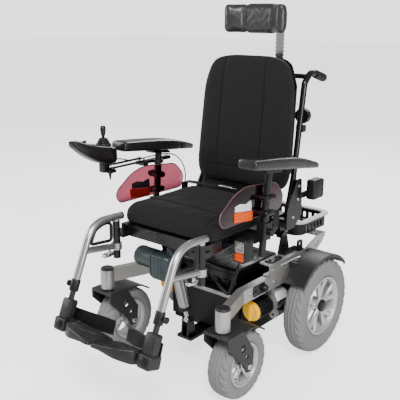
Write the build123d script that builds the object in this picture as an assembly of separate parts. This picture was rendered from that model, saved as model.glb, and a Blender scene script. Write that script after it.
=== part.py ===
"""Power wheelchair with a tilting seat, a reclining back and swing-away leg rests.

Millimetres, +Z up, ground at Z = 0, the chair faces -Y and its own left is +X.
Every sub-assembly is drawn with the rear axle at Y = 0; the export moves the chair
along Y so that the origin is the middle of its footprint.
"""
from build123d import *
import os
from math import cos, radians, sin, tan

# ---- overall sizes -----------------------------------------------------------------
OVERALL_WIDTH = 662.0          # over the outer faces of the drive tyres
WHEELBASE = 527.0              # rear axle to caster barrel
SEAT_BOTTOM = 480.0            # underside of the seat rails
SEAT_DEPTH = 412.0             # cushion, front to back
SEAT_WIDTH = 412.0             # cushion, side to side
BACK_HEIGHT = 480.0            # back cushion, bottom to top
RUN = 0.3                      # clearance round a turning or sliding fit
FACE = 0.3                     # gap between faces that move past each other

# ---- drive wheels ------------------------------------------------------------------
DRIVE_RADIUS = 179.0
DRIVE_TYRE_WIDTH = 76.0
DRIVE_RIM_RADIUS = 105.0
DRIVE_SHAFT_RADIUS = 9.7
TYRE_CORNER = 29.0
RIM_WALL = 7.0
RIM_LIP = 6.0
SPOKES = 5

# ---- casters -----------------------------------------------------------------------
CASTER_X = 264.0
CASTER_RADIUS = 119.0
CASTER_TYRE_WIDTH = 78.0
CASTER_RIM_RADIUS = 70.0
CASTER_TRAIL = 78.0
FORK_PLATE = 6.0
FORK_GAP = 5.0                 # tyre side to fork leg
FORK_CROWN_GAP = 10.0          # tyre top to fork crown
STEM_RADIUS = 10.0
BARREL_RADIUS = 25.0
BARREL_BOTTOM = 262.0
BARREL_TOP = 333.0
CASTER_AXLE_RADIUS = 6.0

# ---- chassis -----------------------------------------------------------------------
RAIL_X = 215.0                 # rail centre plane
RAIL_WIDTH = 30.0
RAIL_BOTTOM = 285.0
RAIL_HEIGHT = 48.0
RAIL_WALL = 2.5
RAIL_BEND_Y = -370.0
RAIL_REAR_Y = 150.0
CHANNEL_HEIGHT = 44.0
CHANNEL_FRONT_Y = -217.0
CHANNEL_REAR_Y = 12.0
CHANNEL_FLANGE = 50.0
SHEET = 5.0                    # thickness of chassis sheet parts
EYE_RADIUS = 9.0               # rear tie-down eye
LUG_BORE = 8.0                 # front tie-down lug on the motor clamp
GUSSET_TIP_Y = 165.0
GUSSET_TIP_Z = 408.0
RACK_Y = (25.0, 270.0)
RACK_HALF_WIDTH = 198.0
RACK_TOP = 460.0
RACK_DEPTH = 52.0
FENDER_GAP = 16.0              # tyre tread to fender skin
FENDER_SKIN = 3.0
FENDER_FRONT_ANGLE = 142.0     # from the rearward horizontal, over the top
FENDER_REAR_ANGLE = 42.0

# ---- drive units and batteries ---------------------------------------------------------
MOTOR_X = 197.0
MOTOR_Z = 217.0
MOTOR_RADIUS = 36.0
MOTOR_FRONT_Y = -272.0
GEARBOX_Y = (-60.0, 55.0)
GEARBOX_HALF_WIDTH = 39.0
RELEASE_CAP_THICKNESS = 14.0
TRAY_HALF_WIDTH = 150.0
TRAY_Y = (-303.0, 60.0)
TRAY_Z = (124.0, 265.0)
TRAY_WALL = 4.0
BATTERY_GAP = 4.0
POWER_BOX_HALF_WIDTH = 120.0
POWER_BOX_Y = (-263.0, -20.0)
POWER_BOX_HEIGHT = 76.0
LID_OVERHANG = 6.0

# ---- seat --------------------------------------------------------------------------
TILT_PIVOT = (-60.0, 440.0)    # Y, Z of the tilt hinge
SEAT_RAIL_X = 163.0
SEAT_RAIL_WIDTH = 26.0
SEAT_RAIL_HEIGHT = 38.0
SEAT_FRONT_Y = -517.0
SEAT_REAR_Y = -40.0
PAN = 3.0
CUSHION_THICKNESS = 74.0
ACTUATOR_TOP = (-474.0, 455.0)
ACTUATOR_FOOT = (-389.0, 165.0)
ACTUATOR_TUBE = 21.0
ACTUATOR_ROD = 9.0
ACTUATOR_EAR_X = 20.0
ROD_EYE_HALF = 9.0
ROD_EYE_PIN = 5.0
TILT_PIN = 7.0
LAMP_X = (205.0, 253.0)
LAMP_FRONT_Y = -404.0
LAMP_Z = (440.0, 520.0)
TAIL_X = (218.0, 256.0)
TAIL_Y = (15.0, 90.0)
TAIL_Z = (567.0, 641.0)
ACTUATOR_CLEARANCE = 3.0       # play round the foot pin, where the closed linkage is opened
SOCKET_X = 246.0
SOCKET_Z = (500.0, 556.0)
POST_RADIUS = 12.5
POST_LEAN = 5.3                # degrees, top rearward
POST_FOOT_Y = -297.0           # post centre line at POST_FOOT_Z
POST_FOOT_Z = 440.0
POST_LENGTH = 292.0

# ---- back and head -----------------------------------------------------------------
RECLINE_PIVOT = (-62.0, 515.0)
CANE_X = 190.0
CANE_RADIUS = 11.0
CANE_ROUTE = ((-64.0, 506.0), (-27.0, 650.0), (21.0, 985.0), (60.0, 1022.0), (150.0, 996.0))
CANE_BENDS = (60.0, 25.0, 30.0)
BACK_LEAN = 5.4
BACK_BOTTOM = 609.0
BACK_FRONT_Y = -116.0          # front face at BACK_BOTTOM
BACK_WIDTH = 420.0
BACK_THICKNESS = 52.0
RECLINE_PIN = 5.0
RECLINE_PLATE_X = 211.0
BAR_Z = (720.0, 1008.0)        # heights of the bars between the canes
KNOB_Z = 870.0
HEAD_BAR_HALF = 18.0
HEAD_BAR_Y = 145.0
HEAD_BAR_Z = (985.0, 1185.0)
HEAD_PAD_Z = (1148.0, 1260.0)
HEAD_PAD_REAR_Y = 45.0
HEAD_PIVOT = (100.0, 1200.0)

# ---- arm rests ---------------------------------------------------------------------
PAD_LENGTH = 415.0
PAD_WIDTH = 74.0
PAD_THICKNESS = 44.0
PAD_NOSE = 36.0                         # thickness at the front
PAD_TAIL = 18.0                         # thickness at the rear
PAD_X = 249.0
PAD_FRONT_Y = {1: -404.0, -1: -474.0}   # the right pad is set further forward
PAD_TILT = {1: 8.0, -1: 7.0}            # degrees, front up
SADDLE = 8.0
PANEL_X = 228.0
PANEL_THICKNESS = 4.0
PANEL_OUTLINE = ((-486.0, 577.0), (-506.0, 606.0), (-431.0, 674.0), (-365.0, 690.0),
                 (-199.0, 674.0), (-150.0, 625.0), (-165.0, 566.0))
CLAMP_Z = (589.0, 640.0)

# ---- controller ----------------------------------------------------------------------
STICK = (-262.0, -526.0, 786.0)  # joystick pivot
LINK_X = (-251.0, -273.0)
LINK_Y = (-500.0, -343.0)        # front and rear pivots
LINK_Z = (698.3, 712.0)          # both links, the inner one below the outer
LINK_PIN_RADIUS = 3.0

# ---- leg rests ---------------------------------------------------------------------
HANGER_X = 190.0
HANGER_POST_Y = -545.0
HANGER_POST_Z = (401.0, 533.0)
HANGER_POST_RADIUS = 13.0
HANGER_RADIUS = 12.5
HANGER_WALL = 2.0
HANGER_PIN = 7.0
HANGER_ROUTE = ((-524.0, 548.0), (-652.0, 552.0), (-744.0, 340.0))
HANGER_BEND = 90.0
LOWER_STAY = ((-690.0, 463.0), (-560.0, 446.0))
LEG_INSERT = 110.0
LEG_REACH = 58.0
FOOT_PIVOT = (165.0, -764.0, 252.0)
FOOT_PITCH = 18.0              # degrees, toe up
FOOT_FRONT = 89.0              # inner end, ahead of the pivot
FOOT_REAR = 35.0
FOOT_DEPTH = 42.0
FOOT_TIP_DEPTH = 11.0
FOOT_DROP = 20.0               # fall of the tread from the hinge to the inner end
FOOT_BLOCK = 42.0
FOOT_HINGE_PIN = 2.2
KNUCKLE = 5.0
HEEL_LOOP_HEIGHT = 52.0
HEEL_LOOP_LOW = -16.0
LEG_RADIUS = 9.5

# ---- cords -------------------------------------------------------------------------
SEAT_CABLE_RADIUS = 7.0
SEAT_CABLE_ROUTE = ((196.0, -330.0, 470.0), (193.0, -332.0, 440.0), (186.0, -342.0, 400.0),
                    (176.0, -352.0, 360.0),
                    (164.0, -352.0, 320.0), (146.0, -342.0, 290.0), (118.0, -322.0, 279.0),
                    (84.0, -300.0, 277.5),
                    (52.0, -284.0, 280.0), (30.0, -269.6, 290.0))
CONTROLLER_CABLE_RADIUS = 2.5
CONTROLLER_CABLE_ROUTE = ((-236.0, -491.6, 735.0), (-235.0, -470.0, 733.0), (-234.0, -440.0, 722.0),
                          (-233.5, -400.0, 717.0),
                          (-233.0, -350.0, 719.0), (-225.0, -305.0, 722.0), (-222.0, -262.0, 721.0),
                          (-224.0, -222.0, 714.0),
                          (-229.0, -186.0, 698.0), (-229.5, -154.0, 668.0), (-229.0, -138.0, 630.0),
                          (-227.0, -142.0, 592.0),
                          (-222.0, -164.0, 557.0), (-214.0, -192.0, 528.0), (-198.0, -214.0, 510.0),
                          (-177.9, -224.0, 503.0))


# ---- small shape helpers -------------------------------------------------------------
def block(x, y, z):
    """Box between three pairs of coordinates."""
    size = [pair[1] - pair[0] for pair in (x, y, z)]
    middle = [(pair[0] + pair[1]) / 2 for pair in (x, y, z)]
    return Pos(*middle) * Box(*size)


def rod(start, end, radius, bore=0.0):
    """Round bar or tube from one point to another."""
    start, end = Vector(*start), Vector(*end)
    section = Circle(radius) - Circle(bore) if bore else Circle(radius)
    return extrude(Plane(origin=start, z_dir=end - start) * section, amount=(end - start).length)


def side_plate(outline, x0, x1, corner=0.0):
    """Plate with an outline in Y and Z, between two X values."""
    face = make_face(Polyline(*outline, close=True))
    if corner:
        face = fillet(face.vertices(), corner)
    return extrude(Plane.YZ.offset(x0) * face, amount=x1 - x0)


def plan_plate(outline, z0, z1, corner=0.0):
    """Plate with an outline in X and Y, between two heights."""
    face = make_face(Polyline(*outline, close=True))
    if corner:
        face = fillet(face.vertices(), corner)
    return extrude(Plane.XY.offset(z0) * face, amount=z1 - z0)


def bent_tube(route, bends, x, radius, bore=0.0):
    """Tube bent in the plane X = x along points given as Y and Z."""
    path = FilletPolyline(*[(x, y, z) for y, z in route], radius=list(bends))
    section = Circle(radius) - Circle(bore) if bore else Circle(radius)
    return sweep(Plane(origin=path @ 0, z_dir=path % 0) * section, path=path)


def mirrored(shape):
    """The same piece on the chair's right."""
    return mirror(shape, about=Plane.YZ)


def both(*shapes):
    """Left pieces followed by their right-hand copies."""
    return [*shapes, *[mirrored(shape) for shape in shapes]]


def wheel_tyre(radius, rim_radius, width):
    """Solid ring with round shoulders about the X axis."""
    section = RectangleRounded(width, radius - rim_radius, min(TYRE_CORNER, (radius - rim_radius) * 0.45))
    return revolve(Pos(0, (radius + rim_radius) / 2) * section, axis=Axis.X)


def wheel_rim(rim_radius, width, hub_radius, bore, hub_reach):
    """Cast rim about the X axis: barrel, lips, a pierced disc and a hub."""
    half = width / 2 - 4.0
    ring = lambda r0, r1, x0, x1: rod((x0, 0, 0), (x1, 0, 0), r1, r0)
    rim = ring(rim_radius - RIM_WALL, rim_radius, -half, half)
    rim += ring(rim_radius - RIM_WALL, rim_radius + RIM_LIP, half, half + 3.5)
    rim += ring(rim_radius - RIM_WALL, rim_radius + RIM_LIP, -half - 3.5, -half)
    rim += ring(bore, rim_radius - RIM_WALL + 1.0, half * 0.35, half * 0.35 + 11.0)
    rim += ring(bore, hub_radius, -hub_reach, hub_reach)
    inner, outer = hub_radius + 8.0, rim_radius - RIM_WALL - 7.0
    for step in range(SPOKES):
        middle = 360.0 / SPOKES * step + 18.0
        corners = [(inner, -7.0), (outer, -27.0), (outer, 27.0), (inner, 7.0)]
        outline = [(r * cos(radians(middle + a)), r * sin(radians(middle + a))) for r, a in corners]
        rim -= side_plate(outline, half * 0.35 - 1.0, half * 0.35 + 12.0, 3.0)
    return rim


# ---- chassis -----------------------------------------------------------------------
def side_rails():
    """Box rails, bent outward at the front and welded to the caster barrels."""
    inner, outer = RAIL_X - RAIL_WIDTH / 2, RAIL_X + RAIL_WIDTH / 2
    front = -WHEELBASE + BARREL_RADIUS * 0.6
    slope = (CASTER_X - RAIL_X) / (WHEELBASE + RAIL_BEND_Y)
    reach = slope * (RAIL_BEND_Y - front)
    outline = [(inner, RAIL_REAR_Y), (outer, RAIL_REAR_Y), (outer, RAIL_BEND_Y),
               (outer + reach, front), (inner + reach, front), (inner, RAIL_BEND_Y)]
    rail = plan_plate(outline, RAIL_BOTTOM, RAIL_BOTTOM + RAIL_HEIGHT)
    hollow = [(inner + RAIL_WALL, RAIL_REAR_Y + 1), (outer - RAIL_WALL, RAIL_REAR_Y + 1),
              (outer - RAIL_WALL, RAIL_BEND_Y), (inner + RAIL_WALL, RAIL_BEND_Y)]
    rail -= plan_plate(hollow, RAIL_BOTTOM + RAIL_WALL, RAIL_BOTTOM + RAIL_HEIGHT - RAIL_WALL)
    barrel = Pos(CASTER_X, -WHEELBASE) * extrude(Plane.XY.offset(BARREL_BOTTOM) * Circle(BARREL_RADIUS),
                                                 amount=BARREL_TOP - BARREL_BOTTOM)
    bore = rod((CASTER_X, -WHEELBASE, BARREL_BOTTOM - 1), (CASTER_X, -WHEELBASE, BARREL_TOP + 1),
               STEM_RADIUS + RUN)
    return both((rail + barrel) - bore)


def barrel_caps():
    """Domed dust caps on the caster barrels."""
    radius = BARREL_RADIUS - 1.5
    dome = Pos(CASTER_X, -WHEELBASE, BARREL_TOP) * extrude(Circle(radius), amount=8.0)
    return both(fillet(dome.edges().group_by(Axis.Z)[-1], 6.0))


def base_crossframe():
    """Hanger plates, cross bars, the actuator foot and the seat pivot ears."""
    rail_inner = RAIL_X - RAIL_WIDTH / 2
    plate_x = (TRAY_HALF_WIDTH + FACE, TRAY_HALF_WIDTH + FACE + 6.0)
    bar_z = (TRAY_Z[0] - 25.0, TRAY_Z[0])
    frame = block((-plate_x[1], plate_x[1]), (TRAY_Y[0] + 20, TRAY_Y[0] + 60), bar_z)
    frame += block((-plate_x[1], plate_x[1]), (TRAY_Y[1] - 60, TRAY_Y[1] - 20), bar_z)
    for side in (1, -1):
        plate = block(plate_x, (TRAY_Y[0] + 20, TRAY_Y[1] - 20), (bar_z[0], RAIL_BOTTOM + 12))
        plate += block((plate_x[0], rail_inner), (TRAY_Y[0] + 20, TRAY_Y[1] - 20),
                       (RAIL_BOTTOM + 6, RAIL_BOTTOM + 12))
        frame += plate if side > 0 else mirrored(plate)
    foot_y, foot_z = ACTUATOR_FOOT
    frame += block((-32, 32), (foot_y - 22, TRAY_Y[0] + 40), (bar_z[0], bar_z[0] + 10))
    eye = ROD_EYE_HALF + FACE + 1.0
    for side in (1, -1):
        ear = side_plate([(foot_y - 20, bar_z[0] + 8), (foot_y + 24, bar_z[0] + 8),
                          (foot_y + 13, foot_z + 14),
                          (foot_y - 13, foot_z + 14)], eye, eye + 6.0)
        frame += ear if side > 0 else mirrored(ear)
    frame += rod((-eye - 9, foot_y, foot_z), (eye + 9, foot_y, foot_z), ROD_EYE_PIN)
    return [frame, *both(pivot_ear())]


def pivot_ear():
    """Ear bolted on the side channel, with the pin that the seat tilts on."""
    y, z = TILT_PIVOT
    base = RAIL_BOTTOM + RAIL_HEIGHT + CHANNEL_HEIGHT
    x0 = SEAT_RAIL_X + SEAT_RAIL_WIDTH / 2 + 1.0
    ear = side_plate([(y - 34, base), (y + 34, base), (y + 13, z + 13), (y - 13, z + 13)], x0, x0 + 8.0,
                     5.0)
    foot_inner = RAIL_X + RAIL_WIDTH / 2 - CHANNEL_FLANGE
    ear += block((min(x0, foot_inner), foot_inner + 32), (y - 34, y + 34), (base, base + 6))
    return ear + rod((x0 - SEAT_RAIL_WIDTH - 8, y, z), (x0 + 4, y, z), TILT_PIN)


def side_channels():
    """Folded channels on the rails that carry the seat."""
    outer = RAIL_X + RAIL_WIDTH / 2
    bottom = RAIL_BOTTOM + RAIL_HEIGHT
    top = bottom + CHANNEL_HEIGHT
    inner = outer - CHANNEL_FLANGE
    web = block((outer - SHEET, outer), (CHANNEL_FRONT_Y, CHANNEL_REAR_Y), (bottom, top))
    slot_y = (CHANNEL_FRONT_Y + CHANNEL_REAR_Y) / 2 + 8
    slot = Pos(outer, slot_y, bottom + CHANNEL_HEIGHT * 0.42) * Rot(0, 90, 0)
    web -= slot * extrude(Rot(0, 0, 90) * SlotOverall(CHANNEL_REAR_Y - CHANNEL_FRONT_Y - 76, 18), amount=20,
                          both=True)
    flange = plan_plate([(outer, CHANNEL_FRONT_Y), (outer, CHANNEL_REAR_Y), (inner, CHANNEL_REAR_Y),
                         (inner, CHANNEL_FRONT_Y + 6)], top - SHEET, top)
    foot = block((RAIL_X - RAIL_WIDTH / 2, outer), (CHANNEL_FRONT_Y, CHANNEL_REAR_Y),
                 (bottom, bottom + SHEET))
    return both(web + flange + foot)


def rear_gussets():
    """Slotted plates rising behind the rails, and the bridge plate between them."""
    outer = RAIL_X + RAIL_WIDTH / 2
    bottom = RAIL_BOTTOM + RAIL_HEIGHT
    outline = [(CHANNEL_REAR_Y, bottom), (CHANNEL_REAR_Y + 52, bottom),
               (GUSSET_TIP_Y - 25, GUSSET_TIP_Z - 34),
               (GUSSET_TIP_Y, GUSSET_TIP_Z), (GUSSET_TIP_Y - 60, GUSSET_TIP_Z),
               (CHANNEL_REAR_Y, bottom + CHANNEL_HEIGHT)]
    plate = side_plate(outline, outer - SHEET, outer)
    for step in range(2):
        middle_y = CHANNEL_REAR_Y + 42 + 46 * step
        middle_z = bottom + 24 + 22 * step
        plate -= Pos(outer, middle_y, middle_z) * Rot(0, 90, 0) * Rot(0, 0, 115) * extrude(
            SlotOverall(28, 8), amount=20, both=True)
    reach = outer - SHEET
    bridge = block((-reach, reach), (GUSSET_TIP_Y - 58, GUSSET_TIP_Y - 4),
                   (GUSSET_TIP_Z - SHEET, GUSSET_TIP_Z))
    return [*both(plate), bridge]


def tie_down_brackets():
    """Black brackets on the side channels, each with an upright eye."""
    outer = RAIL_X + RAIL_WIDTH / 2
    base = RAIL_BOTTOM + RAIL_HEIGHT + CHANNEL_HEIGHT
    plate = fillet(block((outer - 44, outer - 8), (CHANNEL_FRONT_Y + 22, CHANNEL_FRONT_Y + 92),
                         (base, base + 5)).edges().filter_by(Axis.Z), 8.0)
    for y in (CHANNEL_FRONT_Y + 36, CHANNEL_FRONT_Y + 78):
        plate += Pos(outer - 26, y, base + 5) * extrude(RegularPolygon(6, 6), amount=4)
    rear = block((outer - 46, outer - 2), (CHANNEL_REAR_Y - 36, CHANNEL_REAR_Y - 4), (base, base + 6))
    eye_z = base + 24
    eye_y = CHANNEL_REAR_Y - 20
    eye = side_plate([(eye_y - 16, base + 5), (eye_y + 16, base + 5), (eye_y + 14, eye_z + 14),
                      (eye_y - 14, eye_z + 14)],
                     outer - 16, outer - 8, 5.0)
    eye -= rod((outer - 20, eye_y, eye_z), (outer, eye_y, eye_z), EYE_RADIUS)
    return both(plate, rear + eye)


def battery_box():
    """Open tray with its lid plate and the bright strip on its front edge."""
    x = (-TRAY_HALF_WIDTH, TRAY_HALF_WIDTH)
    tray = block(x, TRAY_Y, (TRAY_Z[0], TRAY_Z[1] - 5))
    tray -= block((x[0] + TRAY_WALL, x[1] - TRAY_WALL), (TRAY_Y[0] + TRAY_WALL, TRAY_Y[1] - TRAY_WALL),
                  (TRAY_Z[0] + TRAY_WALL, TRAY_Z[1]))
    lid = block(x, TRAY_Y, (TRAY_Z[1] - 5, TRAY_Z[1]))
    strips = both(block((12, x[1] - 11), (TRAY_Y[0] + 3, TRAY_Y[0] + 15), (TRAY_Z[1], TRAY_Z[1] + 2)))
    return [tray, lid, *strips]


def batteries():
    """Two sealed batteries side by side in the tray, with their terminals."""
    inner = TRAY_HALF_WIDTH - TRAY_WALL - BATTERY_GAP
    low, high = TRAY_Z[0] + TRAY_WALL, TRAY_Z[1] - 12
    middle = (TRAY_Y[0] + TRAY_Y[1]) / 2
    cells = []
    for y in ((TRAY_Y[0] + TRAY_WALL + BATTERY_GAP, middle - BATTERY_GAP / 2),
              (middle + BATTERY_GAP / 2, TRAY_Y[1] - TRAY_WALL - BATTERY_GAP)):
        cell = block((-inner, inner), y, (low, high))
        for x in (-inner + 25, inner - 25):
            cell += rod((x, (y[0] + y[1]) / 2, high), (x, (y[0] + y[1]) / 2, high + 5), 6)
        cells.append(cell)
    return cells


def electronics_box():
    """Shell on the battery lid, its overhanging lid and the power module inside."""
    x = (-POWER_BOX_HALF_WIDTH, POWER_BOX_HALF_WIDTH)
    low, high = TRAY_Z[1], TRAY_Z[1] + POWER_BOX_HEIGHT
    shell = block(x, POWER_BOX_Y, (low, high))
    shell -= block((x[0] + 3, x[1] - 3), (POWER_BOX_Y[0] + 3, POWER_BOX_Y[1] - 3), (low + 3, high + 1))
    lid = block((x[0] - LID_OVERHANG, x[1] + LID_OVERHANG),
                (POWER_BOX_Y[0] - LID_OVERHANG, POWER_BOX_Y[1] + LID_OVERHANG), (high, high + 6))
    module = block((x[0] + 25, x[1] - 25), (POWER_BOX_Y[0] + 25, POWER_BOX_Y[1] - 40), (low + 3, high - 18))
    return [shell, fillet(lid.edges().filter_by(Axis.Z), 10.0), module]


def drive_units():
    """Motors with their worm gearboxes and output bosses."""
    motor = rod((MOTOR_X, MOTOR_FRONT_Y, MOTOR_Z), (MOTOR_X, GEARBOX_Y[0], MOTOR_Z), MOTOR_RADIUS)
    box_x = (MOTOR_X - GEARBOX_HALF_WIDTH, MOTOR_X + GEARBOX_HALF_WIDTH)
    gearbox = block(box_x, GEARBOX_Y, (DRIVE_RADIUS - 48, MOTOR_Z + MOTOR_RADIUS - 4))
    gearbox = fillet(gearbox.edges().filter_by(Axis.X), 14.0)
    boss_end = OVERALL_WIDTH / 2 - DRIVE_TYRE_WIDTH - 5.0
    boss = rod((box_x[1], 0, DRIVE_RADIUS), (boss_end, 0, DRIVE_RADIUS), 26.0)
    arm = block((RAIL_X - 12, RAIL_X + 12), (-20, 20), (MOTOR_Z + MOTOR_RADIUS - 4, RAIL_BOTTOM))
    bore = rod((MOTOR_X + 10, 0, DRIVE_RADIUS), (boss_end + 1, 0, DRIVE_RADIUS), DRIVE_SHAFT_RADIUS + RUN)
    return both(motor, (gearbox + boss + arm) - bore)


def motor_clamps():
    """Bright clamp rings round the motors, each with a lug bored for a tie-down hook."""
    y = (-192.0, -172.0)
    ring = rod((MOTOR_X, y[0], MOTOR_Z), (MOTOR_X, y[1], MOTOR_Z), MOTOR_RADIUS + 4, MOTOR_RADIUS)
    reach = (MOTOR_RADIUS + 11.0) / 2 ** 0.5
    eye = (MOTOR_X + reach, MOTOR_Z - reach)
    lug = rod((eye[0], y[0], eye[1]), (eye[0], y[1], eye[1]), 14.0)
    lug -= rod((MOTOR_X, y[0] - 1, MOTOR_Z), (MOTOR_X, y[1] + 1, MOTOR_Z), MOTOR_RADIUS + 1)
    arm = block((RAIL_X - 8, RAIL_X + 8), y, (MOTOR_Z + MOTOR_RADIUS + 1, RAIL_BOTTOM))
    return both((ring + lug + arm) - rod((eye[0], y[0] - 1, eye[1]), (eye[0], y[1] + 1, eye[1]), LUG_BORE))


def rear_fenders():
    """Curved fenders over the drive tyres, with brackets to the chassis."""
    inner_x = OVERALL_WIDTH / 2 - DRIVE_TYRE_WIDTH - 5.0
    outer_x = OVERALL_WIDTH / 2
    low, high = DRIVE_RADIUS + FENDER_GAP, DRIVE_RADIUS + FENDER_GAP + FENDER_SKIN
    ring = rod((inner_x, 0, DRIVE_RADIUS), (outer_x, 0, DRIVE_RADIUS), high, low)
    ring += rod((outer_x - FENDER_SKIN, 0, DRIVE_RADIUS), (outer_x, 0, DRIVE_RADIUS), high, low - 8)
    far = high * 3
    front, rear = radians(FENDER_FRONT_ANGLE), radians(FENDER_REAR_ANGLE)
    wedge = side_plate([(0, DRIVE_RADIUS), (far * cos(rear), DRIVE_RADIUS + far * sin(rear)),
                        (0, DRIVE_RADIUS + far), (far * cos(front), DRIVE_RADIUS + far * sin(front))],
                       inner_x - 1, outer_x + 1)
    skin = ring & wedge
    tab_z = DRIVE_RADIUS + low * sin(radians(115))
    tab = block((RAIL_X + RAIL_WIDTH / 2, inner_x + 12), (low * cos(radians(115)) - 14,
                                                          low * cos(radians(115)) + 14),
                (tab_z - 12, tab_z + 2))
    tab -= rod((RAIL_X, 0, DRIVE_RADIUS), (outer_x, 0, DRIVE_RADIUS), high - 1) & block(
        (inner_x - 0.1, outer_x), (-far, far), (0, far))
    rear_tab = block((RAIL_X + RAIL_WIDTH / 2, inner_x + 6), (20, 46),
                     (DRIVE_RADIUS + high - 14, DRIVE_RADIUS + high - 4))
    rear_tab -= rod((inner_x - 0.1, 0, DRIVE_RADIUS), (outer_x, 0, DRIVE_RADIUS), high - 1)
    return both(skin + tab + rear_tab)


def rack_rim():
    """Flat bright rim round the rack."""
    width = 25.0
    middle = (RACK_Y[0] + RACK_Y[1]) / 2
    size = (2 * RACK_HALF_WIDTH, RACK_Y[1] - RACK_Y[0])
    flat = RectangleRounded(*size, 50) - RectangleRounded(size[0] - 2 * width, size[1] - 2 * width, 28)
    return [Pos(0, middle, RACK_TOP - 5) * extrude(flat, amount=5)]


def rack_basket():
    """Slatted basket under the rim."""
    middle = (RACK_Y[0] + RACK_Y[1]) / 2
    size = (2 * RACK_HALF_WIDTH - 24, RACK_Y[1] - RACK_Y[0] - 24)
    wall = 4.0
    top, bottom = RACK_TOP - 5, RACK_TOP - RACK_DEPTH
    basket = extrude(RectangleRounded(*size, 38), amount=top - bottom)
    basket -= Pos(0, 0, wall) * extrude(RectangleRounded(size[0] - 2 * wall, size[1] - 2 * wall, 34),
                                        amount=top)
    pitch = 26.0
    for step in range(-5, 6):
        basket -= Pos(step * pitch, 0, wall + 16) * Box(13, size[1] + 20, 22)
        basket -= Pos(step * pitch, 0, 0) * Box(13, size[1] - 70, 3 * wall)
    for step in range(-2, 3):
        basket -= Pos(0, step * pitch, wall + 16) * Box(size[0] + 20, 13, 22)
    return [Pos(0, middle, bottom) * basket]


# ---- wheels ------------------------------------------------------------------------
def drive_wheel(side):
    """Tyre and rim of one drive wheel, the rim with its shaft and hub cap."""
    centre = OVERALL_WIDTH / 2 - DRIVE_TYRE_WIDTH / 2
    place = Pos(centre, 0, DRIVE_RADIUS)
    tyre = place * wheel_tyre(DRIVE_RADIUS, DRIVE_RIM_RADIUS, DRIVE_TYRE_WIDTH)
    shaft_reach = centre - MOTOR_X - 12.0
    rim = wheel_rim(DRIVE_RIM_RADIUS, DRIVE_TYRE_WIDTH, 24.0, 0.0, 22.0)
    rim += rod((-shaft_reach, 0, 0), (0, 0, 0), DRIVE_SHAFT_RADIUS)
    cap = rod((22, 0, 0), (28, 0, 0), 16.0)
    pieces = [tyre, place * rim, place * cap]
    return pieces if side > 0 else [mirrored(piece) for piece in pieces]


def caster(side):
    """Fork, tyre and rim of one caster."""
    axle_y = -WHEELBASE + CASTER_TRAIL
    place = Pos(CASTER_X, axle_y, CASTER_RADIUS)
    tyre = place * wheel_tyre(CASTER_RADIUS, CASTER_RIM_RADIUS, CASTER_TYRE_WIDTH)
    hub_reach = CASTER_TYRE_WIDTH / 2 + FORK_GAP - 4.0
    rim = place * wheel_rim(CASTER_RIM_RADIUS, CASTER_TYRE_WIDTH, 17.0, CASTER_AXLE_RADIUS + RUN, hub_reach)
    pieces = [caster_fork(axle_y, hub_reach), tyre, rim]
    return pieces if side > 0 else [mirrored(piece) for piece in pieces]


def caster_fork(axle_y, hub_reach):
    """Stem, crown, curved guard, two legs and the axle bolt."""
    half = CASTER_TYRE_WIDTH / 2 + FORK_GAP
    crown_bottom = 2 * CASTER_RADIUS + FORK_CROWN_GAP
    crown_top = BARREL_BOTTOM - FACE - 4.0
    front_y = -WHEELBASE - 34.0
    outline = [(front_y, crown_top), (front_y + 78, crown_top), (axle_y + 24, CASTER_RADIUS + 52),
               (axle_y + 19, CASTER_RADIUS - 8), (axle_y + 8, CASTER_RADIUS - 19),
               (axle_y - 12, CASTER_RADIUS - 17),
               (axle_y - 34, CASTER_RADIUS + 22), (front_y, crown_bottom - 26)]
    leg = side_plate(outline, half, half + FORK_PLATE)
    leg -= Pos(half, axle_y - 34, CASTER_RADIUS + 78) * Rot(0, 90, 0) * extrude(
        Rot(0, 0, 20) * RectangleRounded(26, 20, 5), amount=20, both=True)
    leg -= rod((half - 9, axle_y - 12, CASTER_RADIUS + 40), (half + 9, axle_y - 12, CASTER_RADIUS + 40),
               8.0)
    crown = block((-half - FORK_PLATE, half + FORK_PLATE), (front_y, front_y + 78),
                  (crown_bottom, crown_top))
    guard_in, guard_out = CASTER_RADIUS + FORK_CROWN_GAP, CASTER_RADIUS + FORK_CROWN_GAP + 5.0
    guard = rod((-half - FORK_PLATE, axle_y, CASTER_RADIUS), (half + FORK_PLATE, axle_y, CASTER_RADIUS),
                guard_out, guard_in)
    guard &= side_plate([(axle_y, CASTER_RADIUS), (axle_y - 58, CASTER_RADIUS + 200),
                         (axle_y + 150, CASTER_RADIUS + 175)],
                        -half - FORK_PLATE, half + FORK_PLATE)
    guard &= block((-100, 100), (-WHEELBASE - 100, axle_y + 200), (0, crown_top))
    shape = crown + leg + mirrored(leg) + guard
    shape += rod((0, -WHEELBASE, crown_bottom + 1), (0, -WHEELBASE, BARREL_BOTTOM - FACE),
                 BARREL_RADIUS - 6)
    shape += rod((0, -WHEELBASE, BARREL_BOTTOM - 2), (0, -WHEELBASE, BARREL_TOP - 4), STEM_RADIUS)
    for sign in (1, -1):
        shape += rod((sign * (hub_reach + FACE), axle_y, CASTER_RADIUS),
                     (sign * (half + 1), axle_y, CASTER_RADIUS), 11)
    shape += rod((-half - FORK_PLATE - 5, axle_y, CASTER_RADIUS),
                 (half + FORK_PLATE + 5, axle_y, CASTER_RADIUS),
                 CASTER_AXLE_RADIUS)
    return Pos(CASTER_X, 0, 0) * shape


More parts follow.
